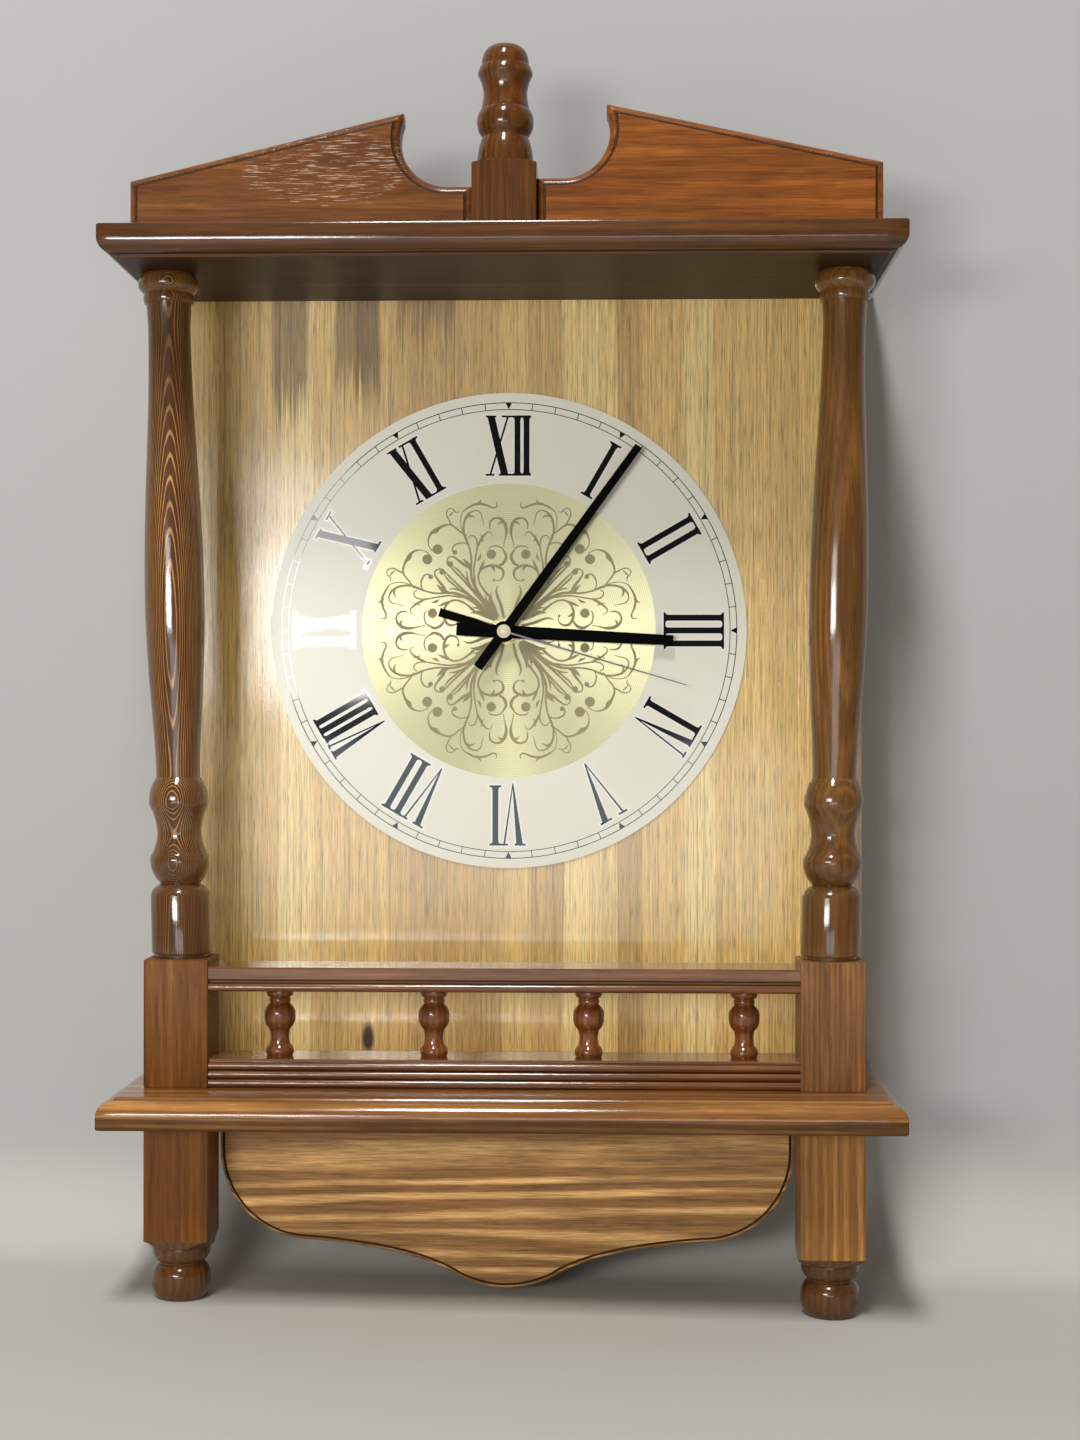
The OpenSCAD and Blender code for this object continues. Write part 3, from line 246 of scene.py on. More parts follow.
def printed(polygons, front, back):
    """Flat shapes joined where they overlap, then given a thickness from y = front to y = back."""
    spots, loops = [], []
    for shape in polygons:
        area = sum(p[0] * q[1] - q[0] * p[1] for p, q in zip(shape, shape[1:] + shape[:1]))
        shape = shape if area > 0 else shape[::-1]
        loops.append(list(range(len(spots), len(spots) + len(shape))))
        spots += [Vector(p) for p in shape]
    flat, _, faces, _, _, owners = delaunay_2d_cdt(spots, [], loops, 1, 1e-4)
    kept = [list(f) for f, owner in zip(faces, owners) if owner]
    return thick([tuple(p) for p in flat], kept, front, back)


def thick(flat, faces, front, back):
    """Faces in the x, z plane at y = front, the same at y = back, and walls round their rim."""
    flat = np.asarray(flat, float)
    n = len(flat)
    rim = {}
    for f in faces:
        for a, b in zip(f, f[1:] + f[:1]):
            rim[(a, b)] = rim.get((a, b), 0) + 1
    walls = [[a, a + n, b + n, b] for a, b in rim if (b, a) not in rim]
    tops = np.column_stack([flat[:, 0], np.full(n, front), flat[:, 1]])
    rear = np.column_stack([flat[:, 0], np.full(n, back), flat[:, 1]])
    under = [[i + n for i in reversed(f)] for f in faces]
    return np.vstack([tops, rear]), faces + under + walls


# ---------------------------------------------------------------- materials

def colour(text):
    """A colour written as sRGB hex, as the linear values that shaders take."""
    v = [int(text[i:i + 2], 16) / 255 for i in (1, 3, 5)]
    return tuple(c / 12.92 if c < 0.04045 else ((c + 0.055) / 1.055) ** 2.4 for c in v) + (1.0,)


def add(tree, kind, inputs=None, stops=None, **settings):
    """One node with its settings; an input is a value, or a (node, output) pair to link."""
    node = tree.nodes.new(kind)
    for key, value in settings.items():
        setattr(node, key, value)
    if stops:
        ramp = node.color_ramp
        while len(ramp.elements) < len(stops):
            ramp.elements.new(0.5)
        for element, (place, tint) in zip(ramp.elements, stops):
            element.position = place
            element.color = colour(tint) if isinstance(tint, str) else (tint, tint, tint, 1)
    for key, value in (inputs or {}).items():
        if isinstance(value, tuple) and isinstance(value[0], bpy.types.Node):
            tree.links.new(value[0].outputs[value[1]], node.inputs[key])
        else:
            node.inputs[key].default_value = value
    return node


def finish_of(name, constants):
    """A new material with its shader, whose unchanging values sit on the shader's own sockets."""
    material = bpy.data.materials.new(name)
    material.use_nodes = True
    tree = material.node_tree
    shader = tree.nodes["Principled BSDF"]
    for key, value in constants.items():
        shader.inputs[key].default_value = value
    return material, tree, shader


def stretched(tree, along, squeeze, offset=(0, 0, 0), lean=(0, 0, 0)):
    """Object coordinates squeezed along the grain, so that any pattern on them runs with it."""
    scale = [1.0, 1.0, 1.0]
    scale["XYZ".index(along)] = squeeze
    place = add(tree, "ShaderNodeTexCoord")
    return add(tree, "ShaderNodeMapping", {
        "Vector": (place, "Object"),
        "Location": offset,
        "Rotation": lean,
        "Scale": scale,
    })


def oval(tree, x, z, wide, tall):
    """A soft upright oval in the x, z plane: 1 at its middle, 0 at its rim."""
    place = add(tree, "ShaderNodeTexCoord")
    spot = add(tree, "ShaderNodeMapping", {
        "Vector": (place, "Object"),
        "Location": (-x / wide, 0, -z / tall),
        "Scale": (1 / wide, 0, 1 / tall),
    })
    return add(tree, "ShaderNodeTexGradient", {0: (spot, 0)}, gradient_type="SPHERICAL")


def pine(name, along, pith, dark, mid, light, ring=4.0, wander=5.0, lines=0.5, contrast=0.7, early=0.35,
         gloss=0.12, coat=0.6, shine=1.5, lean=0.0, worn=None):
    """Stained, lacquered pine. Growth rings lie round a pith line that runs along the grain and
    passes through the point pith, in metres; ring is their spacing in millimetres. Lines says how
    far they show, early is the dark share of each, and worn is an oval of scratches."""
    material, tree, shader = finish_of(name, {
        "Roughness": 0.45,
        "Specular IOR Level": 0.1,
        "Coat Weight": coat,
        "Coat Roughness": gloss,
        "Coat IOR": shine,
    })
    offset = [-v for v in pith]
    offset["XYZ".index(along)] *= 0.06
    grain = stretched(tree, along, 0.06, offset, (lean, 0, 0))
    # A ring wave at scale 314 repeats at each millimetre
    rings = add(tree, "ShaderNodeTexWave", {
        "Vector": (grain, 0),
        "Scale": 314 / ring,
        "Distortion": wander,
        "Detail": 3.0,
        "Detail Scale": 0.45,
        "Detail Roughness": 0.55,
    }, wave_type="RINGS", rings_direction=along)
    figure = add(tree, "ShaderNodeValToRGB", {0: (rings, 1)},
                 stops=[(0.0, dark), (early, dark), (0.4 + 0.6 * early, mid), (0.97, light)])
    # Stain that lies thicker in some places than in others, and hides the rings there
    cloud = add(tree, "ShaderNodeTexNoise", {
        "Vector": (stretched(tree, along, 0.25, offset), 0),
        "Scale": 30.0,
        "Detail": 4.0,
        "Roughness": 0.6,
    })
    clear = add(tree, "ShaderNodeMapRange", {0: (cloud, 0), 1: 0.35, 2: 0.62, 3: lines * 0.35, 4: lines})
    ringed = add(tree, "ShaderNodeMix", {0: (clear, 0), 6: colour(mid), 7: (figure, 0)}, data_type="RGBA")
    # Bundles of fibre 3 mm across, and single fibres half a millimetre across
    bundle = add(tree, "ShaderNodeTexNoise", {
        "Vector": (stretched(tree, along, 0.045, offset), 0),
        "Scale": 330.0,
        "Detail": 5.0,
        "Roughness": 0.7,
    })
    strand = add(tree, "ShaderNodeValToRGB", {0: (bundle, 0)},
                 stops=[(0.32, 0.55), (0.5, 0.96), (0.7, 1.35)])
    fibre = add(tree, "ShaderNodeTexNoise", {
        "Vector": (stretched(tree, along, 0.03, offset), 0),
        "Scale": 1500.0,
        "Detail": 3.0,
        "Roughness": 0.6,
    })
    thread = add(tree, "ShaderNodeValToRGB", {0: (fibre, 0)},
                 stops=[(0.32, 0.62), (0.5, 0.98), (0.7, 1.25)])
    patch = add(tree, "ShaderNodeValToRGB", {0: (cloud, 0)},
                stops=[(0.3, 0.66), (0.52, 1.0), (0.75, 1.35)])
    tone = (ringed, 2)
    for amount, layer in ((contrast, strand), (contrast, thread), (1.0, patch)):
        mixed = add(tree, "ShaderNodeMix", {0: amount, 6: tone, 7: (layer, 0)},
                    data_type="RGBA", blend_type="MULTIPLY")
        tone = (mixed, 2)
    if worn:
        # Short pale scratches down to the bare wood, about 0.8 mm wide
        streak = add(tree, "ShaderNodeTexNoise", {
            "Vector": (stretched(tree, along, 0.065, (0.2, 0.1, 0.3)), 0),
            "Scale": 1300.0,
            "Detail": 3.0,
            "Roughness": 0.6,
        })
        even = add(tree, "ShaderNodeMath", {0: (oval(tree, *worn), 1), 1: 0.3}, operation="MINIMUM")
        bared = add(tree, "ShaderNodeMath", {0: (even, 0), 1: 0.9, 2: (streak, 0)},
                    operation="MULTIPLY_ADD")
        scratched = add(tree, "ShaderNodeMapRange", {0: (bared, 0), 1: 0.83, 2: 0.92, 3: 0.0, 4: 0.75})
        paler = add(tree, "ShaderNodeMix", {0: (scratched, 0), 6: tone, 7: colour("#cfb199")},
                    data_type="RGBA")
        tone = (paler, 2)
    tree.links.new(tone[0].outputs[2], shader.inputs["Base Color"])
    fibres = add(tree, "ShaderNodeBump", {"Height": (bundle, 0), "Strength": 0.2, "Distance": 0.0003})
    tree.links.new(fibres.outputs[0], shader.inputs["Normal"])
    tree.links.new(fibres.outputs[0], shader.inputs["Coat Normal"])
    return material


# Stained pine: brown with paler growth lines and a hard lacquer shine
SHELF = pine("stained_pine_shelf", "X", (0, -0.12, -0.56), "#6b411d", "#9a6431", "#c08945",
             ring=4, wander=6, lines=0.5, gloss=0.1, coat=1.0, shine=1.45)
CORNICE = pine("stained_pine_cornice", "X", (0, -0.10, -0.02), "#442309", "#5b3414", "#70451a",
               ring=4, wander=6, lines=0.45, gloss=0.08, coat=0.9, shine=1.55)
RIGHT_COLUMN = pine("stained_pine_right_column", "Z", (0.17, -0.06, 0), "#593711", "#704a22", "#895d2a",
                    ring=3, wander=3, lines=0.4, gloss=0.08, coat=0.9)
RAILS = pine("stained_pine_rails", "X", (0, -0.05, -0.30), "#5a3212", "#774823", "#8e5f31",
             ring=3.5, wander=5, lines=0.4, gloss=0.1, coat=1.0, shine=1.55)
SPINDLES = pine("stained_pine_spindles", "Z", (0.02, -0.10, 0), "#5e3211", "#7b461f", "#965d2c",
                ring=3.5, wander=4, lines=0.4, gloss=0.1, coat=0.9, shine=1.6)
FINIAL = pine("stained_pine_finial", "Z", (0.03, -0.17, 0), "#452704", "#62370c", "#7d5114",
              ring=3.6, wander=4, lines=0.3, contrast=0.8, gloss=0.1, coat=0.8)
# The shelf's square edge is painted darker than its top: painted shade, because the light from above barely
# reaches it. It also shines less than its top
SHELF_EDGE_SHADE = pine("stained_pine_shelf_edge_painted_shade", "X", (0, -0.12, -0.56), "#492c13", "#694521", "#865e32",
                  ring=4, wander=6, lines=0.6, gloss=0.25, coat=0.3)
# The pediment's two boards are of redder, plainer wood; the left one is scratched
LEFT_TOP = pine("stained_pine_left_pediment", "X", (0, -0.05, 0.02), "#5e3816", "#7b4922", "#97622d",
                ring=7, wander=9, lines=0.3, contrast=0.85, gloss=0.15, coat=0.4,
                worn=(-0.106, 0.087, 0.066, 0.032))
RIGHT_TOP = pine("stained_pine_right_pediment", "X", (0, -0.07, 0.16), "#6b3d12", "#8c4f1e", "#aa6627",
                 ring=8, wander=9, lines=0.35, contrast=0.85, gloss=0.15, coat=0.4)
# The left column was turned from close-grained stock whose pith ran just in front of it, so that
# its growth lines show as tall narrow arches
LEFT_COLUMN = pine("stained_pine_left_column", "Z", (-0.195, -0.151, 0), "#4d2b12", "#643e1d", "#b98a52",
                   ring=0.95, wander=3, lines=0.8, contrast=0.6, early=0.72, gloss=0.08, coat=0.9,
                   shine=1.55, lean=-0.34)
# The square blocks have hardly any lacquer, so they look soft and matt
LEFT_POST = pine("stained_pine_left_post", "Z", (-0.25, -0.06, 0), "#603912", "#75491f", "#875826",
                 ring=3, wander=4, lines=0.3, contrast=0.8, gloss=0.5, coat=0.03)
RIGHT_POST = pine("stained_pine_right_post", "Z", (0.28, -0.06, 0), "#6c4624", "#875d37", "#9f7346",
                  ring=2.2, wander=3, lines=0.4, contrast=0.8, gloss=0.4, coat=0.1)
# The left leg is dark and plain, the right one is pale with close upright lines
LEFT_LEG = pine("stained_pine_left_leg", "Z", (-0.26, -0.05, 0), "#603507", "#764510", "#8b5615",
                ring=3, wander=3, lines=0.35, contrast=0.8, gloss=0.2, coat=0.3)
RIGHT_LEG = pine("stained_pine_right_leg", "Z", (0.24, -0.30, 0), "#7b4d1d", "#a36e34", "#cc9248",
                 ring=1.8, wander=2, lines=0.6, contrast=0.8, gloss=0.15, coat=0.5)
# The turned feet took more stain and more lacquer than the legs' flat faces
FEET = pine("stained_pine_feet", "Z", (0.0, -0.02, 0), "#43260c", "#5f3a17", "#7d5426",
            ring=4, wander=4, lines=0.3, gloss=0.1, coat=0.9)
# The cornice's underside is painted dark: painted shade under the overhang. It has almost no lacquer, so it
# stays dull
CORNICE_UNDERSIDE_SHADE = pine("stained_pine_underside_painted_shade", "X", (0, -0.10, 0.06), "#25150a", "#3a2511", "#50361b",
                 ring=5, wander=6, lines=0.5, gloss=0.4, coat=0.05)
# The step that runs round the pediment boards and the apron is painted darker: painted shade in its recess
STEP_SHADE = pine("stained_pine_step_painted_shade", "X", (0, -0.02, -0.66), "#2f1c0c", "#412810", "#563818",
            ring=4, wander=6, lines=0.3, gloss=0.3, coat=0.3)
# The apron's board shows more figure than the rest: broad pale growth bands between dark lines
APRON = pine("stained_pine_apron", "X", (0, -0.02, -0.66), "#845930", "#bd8d55", "#f0be79",
             ring=10, wander=18, lines=0.75, contrast=1.0, early=0.4, gloss=0.15, coat=0.4)


def upright_mark(tree, across, height, left, right, low, depth):
    """A mark with crisp upright sides whose lower end frays out: depth inside it, 0 outside. It is
    the product of a ramp up over 3 mm at left, one down at right, and one up over 22 mm from low."""
    from_left = add(tree, "ShaderNodeMapRange", {0: across, 1: left, 2: left + 0.003, 3: 0.0, 4: depth})
    from_right = add(tree, "ShaderNodeMapRange", {0: across, 1: right - 0.003, 2: right, 3: 1.0, 4: 0.0})
    from_low = add(tree, "ShaderNodeMapRange", {0: height, 1: low, 2: low + 0.022, 3: 0.0, 4: 1.0})
    between = add(tree, "ShaderNodeMath", {0: (from_left, 0), 1: (from_right, 0)}, operation="MULTIPLY")
    return add(tree, "ShaderNodeMath", {0: (between, 0), 1: (from_low, 0)}, operation="MULTIPLY")


def oak_panel():
    """Pale oak veneer: upright strips of differing tint, fine pores, dark marks near its top left."""
    material, tree, shader = finish_of("clear_oak_veneer", {
        "Roughness": 0.4,
        "Coat Weight": 1.0,
        "Coat Roughness": 0.11,
        "Coat IOR": 1.55,
    })
    place = add(tree, "ShaderNodeTexCoord")
    # Strips 12 to 30 mm wide that waver a little up the panel
    sway = add(tree, "ShaderNodeTexNoise", {
        "Vector": (stretched(tree, "Z", 0.3), 0),
        "Scale": 12.0,
    })
    across = add(tree, "ShaderNodeSeparateXYZ", {0: (place, "Object")})
    drift = add(tree, "ShaderNodeMath", {0: (sway, 0), 1: 0.008, 2: (across, 0)}, operation="MULTIPLY_ADD")
    strips = add(tree, "ShaderNodeTexVoronoi", {"W": (drift, 0), "Scale": 55.0},
                 voronoi_dimensions="1D")
    tint = add(tree, "ShaderNodeSeparateColor", {0: (strips, "Color")})
    strip = add(tree, "ShaderNodeValToRGB", {0: (tint, 0)},
                stops=[(0.0, "#c39b56"), (0.4, "#d4ad62"), (0.7, "#e1bb6f"), (1.0, "#ebcd87")])
    grain = add(tree, "ShaderNodeTexNoise", {
        "Vector": (stretched(tree, "Z", 0.012), 0),
        "Scale": 620.0,
        "Detail": 6.0,
        "Roughness": 0.75,
        "Distortion": 0.3,
    })
    fine = add(tree, "ShaderNodeValToRGB", {0: (grain, 0)}, stops=[(0.33, 0.42), (0.5, 0.98), (0.66, 1.3)])
    # Open pores: short dark dashes about 0.6 mm wide, drawn a little coarser than real ones
    pore = add(tree, "ShaderNodeTexNoise", {
        "Vector": (stretched(tree, "Z", 0.04, (0.3, 0, 0)), 0),
        "Scale": 1500.0,
        "Detail": 2.0,
    })
    dash = add(tree, "ShaderNodeValToRGB", {0: (pore, 0)}, stops=[(0.34, 0.5), (0.46, 1.0), (0.66, 1.2)])
    layered = add(tree, "ShaderNodeMix", {0: 0.85, 6: (strip, 0), 7: (fine, 0)},
                  data_type="RGBA", blend_type="MULTIPLY")
    pored = add(tree, "ShaderNodeMix", {0: 0.8, 6: (layered, 2), 7: (dash, 0)},
                data_type="RGBA", blend_type="MULTIPLY")
    # Dark mineral streaks in the top left corner, as left, right, lower end and depth. The lacquer
    # has sunk into them, so they stay dull in the window's glare
    veneer = (pored, 2)
    lacquer = 1.0
    frayed = add(tree, "ShaderNodeMath", {0: (grain, 0), 1: -0.12, 2: (across, 2)},
                 operation="MULTIPLY_ADD")
    marks = [
        (-0.148, -0.124, -0.115, 0.8),
        (-0.110, -0.092, -0.100, 0.7),
        (-0.096, -0.078, -0.103, 0.9),
        (-0.070, -0.030, -0.065, 0.6),
    ]
    for left, right, low, depth in marks:
        amount = upright_mark(tree, (drift, 0), (frayed, 0), left, right, low, depth)
        dulled = add(tree, "ShaderNodeMix", {0: (amount, 0), 6: veneer, 7: colour("#8f8363")},
                     data_type="RGBA", blend_type="MULTIPLY")
        veneer = (dulled, 2)
        lacquer = (add(tree, "ShaderNodeMath", {0: (amount, 0), 1: -0.6, 2: lacquer},
                       operation="MULTIPLY_ADD", use_clamp=True), 0)
    # One small knot behind the gallery
    knot = add(tree, "ShaderNodeMath", {0: (oval(tree, -0.090, -0.440, 0.005, 0.012), 1), 1: 2.0},
               operation="MULTIPLY", use_clamp=True)
    knotted = add(tree, "ShaderNodeMix", {0: (knot, 0), 6: veneer, 7: colour("#2f1d0c")},
                  data_type="RGBA")
    tree.links.new(knotted.outputs[2], shader.inputs["Base Color"])
    tree.links.new(lacquer[0].outputs[0], shader.inputs["Coat Weight"])
    relief = add(tree, "ShaderNodeBump", {"Height": (grain, 0), "Strength": 0.35, "Distance": 0.0004})
    tree.links.new(relief.outputs[0], shader.inputs["Normal"])
    # The lacquer sinks a little into each pore, so the glare breaks up into sparks
    sunk = add(tree, "ShaderNodeBump", {
        "Height": (pore, 0),
        "Strength": 0.4,
        "Distance": 0.0001,
        "Normal": (relief, 0),
    })
    tree.links.new(sunk.outputs[0], shader.inputs["Coat Normal"])
    return material


def worked(name, base, other, scale, constants, bump=0.0, squeeze=1.0, along="X"):
    """A material whose colour drifts between two close tones, with matching roughness and relief;
    scale is the number of its clouds in a metre."""
    material, tree, shader = finish_of(name, constants)
    cloud = add(tree, "ShaderNodeTexNoise", {
        "Vector": (stretched(tree, along, squeeze), 0),
        "Scale": scale,
        "Detail": 4.0,
        "Roughness": 0.6,
    })
    tone = add(tree, "ShaderNodeValToRGB", {0: (cloud, 0)}, stops=[(0.35, base), (0.65, other)])
    tree.links.new(tone.outputs[0], shader.inputs["Base Color"])
    rough = constants.get("Roughness", 0.5)
    sheen = add(tree, "ShaderNodeMapRange", {0: (cloud, 0), 3: rough * 0.8, 4: rough * 1.2})
    tree.links.new(sheen.outputs[0], shader.inputs["Roughness"])
    if bump:
        relief = add(tree, "ShaderNodeBump", {"Height": (cloud, 0), "Strength": bump, "Distance": 0.0003})
        tree.links.new(relief.outputs[0], shader.inputs["Normal"])
    return material


def spun_gold():
    """Pale gold foil with a spun grain: fine circles round the dial's centre."""
    material, tree, shader = finish_of("spun_gold_foil", {
        "Metallic": 0.75,
        "Roughness": 0.42,
        "Anisotropic": 0.85,
    })
    place = add(tree, "ShaderNodeTexCoord")
    centred = add(tree, "ShaderNodeMapping", {
        "Vector": (place, "Object"),
        "Location": (-DIAL[0] / 1000, 0, -DIAL[1] / 1000),
    })
    # Circles 1.2 mm apart, coarser than the real ones so that they show
    circles = add(tree, "ShaderNodeTexWave", {
        "Vector": (centred, 0),
        "Scale": 260.0,
        "Distortion": 3.0,
        "Detail": 3.0,
        "Detail Scale": 0.6,
    }, wave_type="RINGS", rings_direction="Y")
    tone = add(tree, "ShaderNodeValToRGB", {0: (circles, 1)}, stops=[(0.0, "#bfba90"), (1.0, "#cfcaa3")])
    tree.links.new(tone.outputs[0], shader.inputs["Base Color"])
    relief = add(tree, "ShaderNodeBump", {"Height": (circles, 1), "Strength": 0.1, "Distance": 0.0002})
    tree.links.new(relief.outputs[0], shader.inputs["Normal"])
    # The light fans out across the circles, so its long axis points away from the centre
    outward = add(tree, "ShaderNodeVectorMath", {0: (centred, 0), 1: (1, 0, 1)}, operation="MULTIPLY")
    tree.links.new(outward.outputs[0], shader.inputs["Tangent"])
    return material


OAK = oak_panel()
GOLD = spun_gold()
# Unfinished softwood on the back: dry, pale and faintly streaked along the grain
RAW = worked("raw_softwood", "#c9a574", "#dcc096", 60, {"Roughness": 0.75}, 0.3, 0.08)
RAW_UPRIGHT = worked("raw_softwood_upright", "#c9a574", "#dcc096", 60, {"Roughness": 0.75}, 0.3, 0.08, "Z")
# Planed beech dowels: pinkish tan, close and even
BEECH = worked("beech_dowel", "#cfa777", "#dcb88b", 120, {"Roughness": 0.6}, 0.2, 0.2, "Z")
# Zinc-plated mild steel: cool grey, slightly cloudy
ZINC = worked("zinc_plated_steel", "#a9adb0", "#c2c6c8", 90, {"Metallic": 1.0, "Roughness": 0.35}, 0.1)
# Cream lacquer on a thin metal dial: even, satin, just off white
CREAM = worked("cream_dial_lacquer", "#e3e0cc", "#e8e5d5", 8,
               {"Roughness": 0.4, "Coat Weight": 0.25, "Coat Roughness": 0.2})
# Glossy black foil of the numerals and the track
INK = worked("black_numeral_foil", "#0a0a0b", "#111112", 200,
             {"Roughness": 0.5, "Specular IOR Level": 0.0, "Coat Weight": 1.0, "Coat Roughness": 0.05})
# The paler lacquer that shows as a rim round each numeral
RIM = worked("pale_numeral_rim", "#e7e6dc", "#eeede4", 60, {"Roughness": 0.3, "Coat Weight": 0.5})
# Darker gold ink of the scrollwork
SCROLL = worked("tan_gold_scroll_ink", "#94885e", "#a0946b", 80, {"Roughness": 0.55})
# Black-painted stamped hands
BLACK = worked("black_hand_paint", "#020203", "#040405", 150, {"Roughness": 0.6, "Specular IOR Level": 0.04})
# The second hand's needle is polished steel under thin lacquer, so it catches a line of light
NEEDLE = worked("polished_steel_needle", "#515254", "#626366", 200, {"Metallic": 0.8, "Roughness": 0.35})
# Polished brass of the nut and the washer: warm, with crisp reflections
BRASS = worked("polished_brass", "#c9a862", "#dcc07c", 150, {"Metallic": 1.0, "Roughness": 0.22})
# The second hand's cap is brass under a pale lacquer that dulls its colour
CAP = worked("pale_lacquered_cap", "#e2d8b8", "#efe7cc", 150, {"Roughness": 0.25, "Coat Weight": 0.6})
# Soft black rubber, dull and dusty
RUBBER = worked("black_rubber", "#1c1c1d", "#2b2b2c", 120, {"Roughness": 0.8}, 0.2)
# Moulded black ABS of the movement: a fine spark-eroded grain
ABS = worked("black_moulded_abs", "#1a1b1c", "#222324", 1400, {"Roughness": 0.55}, 0.35)
# White acetal of the wheels: waxy, slightly translucent looking
ACETAL = worked("white_acetal", "#e6e5df", "#f1f0eb", 80, {"Roughness": 0.4})
# Drawn brass of the hands' tubes: a little browner and duller than the nut
TUBE = worked("drawn_brass_tube", "#b99650", "#cdae68", 200, {"Metallic": 1.0, "Roughness": 0.3})
# Sintered magnet of the rotor: dark grey and grainy
MAGNET = worked("sintered_magnet", "#3c3d40", "#4a4b4f", 400, {"Metallic": 0.6, "Roughness": 0.5}, 0.2)
# Stamped soft iron of the stator: plain grey with a dull sheen
IRON = worked("stamped_stator_iron", "#8b8d90", "#a1a3a5", 200, {"Metallic": 1.0, "Roughness": 0.42})
# Enamelled copper wire, wound: reddish, with fine ribs across the coil
COPPER = worked("enamelled_copper_winding", "#9a4a22", "#b9622f", 30, {"Metallic": 0.9, "Roughness": 0.3},
                0.3, 40.0)
# Glass fibre board under a glossy green solder mask
GREEN = worked("green_circuit_board", "#1d5a36", "#27693f", 100, {"Roughness": 0.4, "Coat Weight": 0.4})
# Drawn nickel-plated can of the crystal: bright and smooth
CAN = worked("nickel_crystal_can", "#b4b6b8", "#c8cacb", 200, {"Metallic": 1.0, "Roughness": 0.25})
# Printed plastic sleeve of the cell: plain ochre with a soft gloss
CELL = worked("printed_battery_sleeve", "#b58a2c", "#c29a3d", 60, {"Roughness": 0.35, "Coat Weight": 0.5})
# Nickel-plated spring steel of the contacts: bright grey
SPRING = worked("nickel_spring_steel", "#aeb0b1", "#c5c7c8", 300, {"Metallic": 1.0, "Roughness": 0.3})

FINISH = {
    "panel_oak": OAK, "shelf_pine": SHELF, "cornice_pine": CORNICE, "post_pine": LEFT_POST,
    "apron_pine": APRON, "raw_pine": RAW, "beech": BEECH, "plate_steel": ZINC, "dial_face": CREAM,
    "black_rubber": RUBBER, "brass": BRASS, "hand_black": BLACK, "case_black": ABS,
    "wheel_white": ACETAL, "cannon_brass": TUBE, "magnet": MAGNET, "stator_steel": IRON,
    "copper_wire": COPPER, "board_green": GREEN, "crystal_can": CAN, "battery_cell": CELL,
    "contact_steel": SPRING,
}
for name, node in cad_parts.items():
    slots = [m.name.split(".")[0] for m in node.data.materials if m]
    node.data.materials.clear()
    node.data.materials.append(RAW_UPRIGHT if name in ("left_batten", "right_batten") else FINISH[slots[0]])
    node.data.polygons.foreach_set("use_smooth", [True] * len(node.data.polygons))
    weld = node.modifiers.new("joined", "WELD")
    weld.merge_threshold = 1e-6
    split = node.modifiers.new("arrises", "EDGE_SPLIT")
    split.split_angle = math.radians(ARRIS)


# ---------------------------------------------------------------- case

def board_edge(under, top):
    """Square face, small step, quarter round: (inset, z) from the face's side to the round's."""
    up = 1 if top > under else -1
    quarter = [[8.5 - u, under + up * v] for u, v in arc((0, 8), 8.5, 0, 90, 10)]
    lower = [[1.0, under], [0.4, under + up * 0.3], [0, under + up * 1.0], [0, under + up * 8]]
    return [[3, under]] + lower + quarter + [[8.6, top - up * 1.1], [9.6, top - up * 0.1], [11, top]]


shelf = piece("shelf_board", *moulded(board_edge(SHELF_Z, DECK_Z), HALF_WIDTH, DEPTH), SHELF, "shelf_pine",
              stands_for=["lower_shelf"])
shelf.data.materials.append(SHELF_EDGE_SHADE)
# The square front edge's faces take the darker copy of the shelf's pine: painted shade
for face in shelf.data.polygons:
    square = face.center.z * 1000 < SHELF_Z + 8.1 and abs(face.normal.z) < 0.9
    face.material_index = 1 if square else 0
cornice = piece("cornice_board_moulded", *moulded(board_edge(CROWN_Z, CORNICE_Z), HALF_WIDTH, DEPTH),
                CORNICE, "cornice_pine", stands_for=["cornice_board"])
cornice.data.materials.append(CORNICE_UNDERSIDE_SHADE)
# Faces that point down take the painted shade
for face in cornice.data.polygons:
    face.material_index = 1 if face.normal.z < -0.95 else 0


def foot(height):
    """The turned foot under a square leg, then the square stick up to the given height."""
    shoulder = [27.87, 36.9]
    return (
        [[12.5, 0], [13.75, 0.2]]
        + bow([14.4, 0.6], [17.3, 12.8], 1.2, 10)
        + bow([17.3, 12.8], [13.25, 21.0], 1.2, 10)[1:]
        + bow([13.25, 21.6], [17.0, 30.8], 1.6, 10)
        + bow([18.8, 31.3], shoulder, -0.6, 22)
        + [[40, 40], [40, height - 0.6], [40, height, 0.4]]
    )


FOOT_TOP = 36.0
LEGS = [("left", -POST_X, LEFT_SOLE, LEFT_LEG), ("right", POST_X, RIGHT_SOLE, RIGHT_LEG)]
for side, x, sole, leg_pine in LEGS:
    stick = squared(foot(SHELF_Z - sole), x, POST_Y, sole, POST_HALF)
    leg = piece(f"{side}_leg_turned", *stick, leg_pine, "post_pine", stands_for=[f"{side}_leg"])
    leg.data.materials.append(FEET)
    for face in leg.data.polygons:
        face.material_index = 1 if face.center.z * 1000 < sole + FOOT_TOP else 0

# Each block as (limit radius, height, inset), with its arrises eased by 0.8 mm top and bottom
BLOCK = [[40, 0, 0.8], [40, 0.25, 0.25], [40, 0.9], [40, 74.4], [40, 75.05, 0.25], [40, 75.3, 0.8]]
for side, x, block_pine in (("left", -POST_X, LEFT_POST), ("right", POST_X, RIGHT_POST)):
    piece(f"{side}_square_block", *squared(BLOCK, x, POST_Y, DECK_Z, POST_HALF), block_pine,
          "post_pine", stands_for=[f"{side}_post_block"])


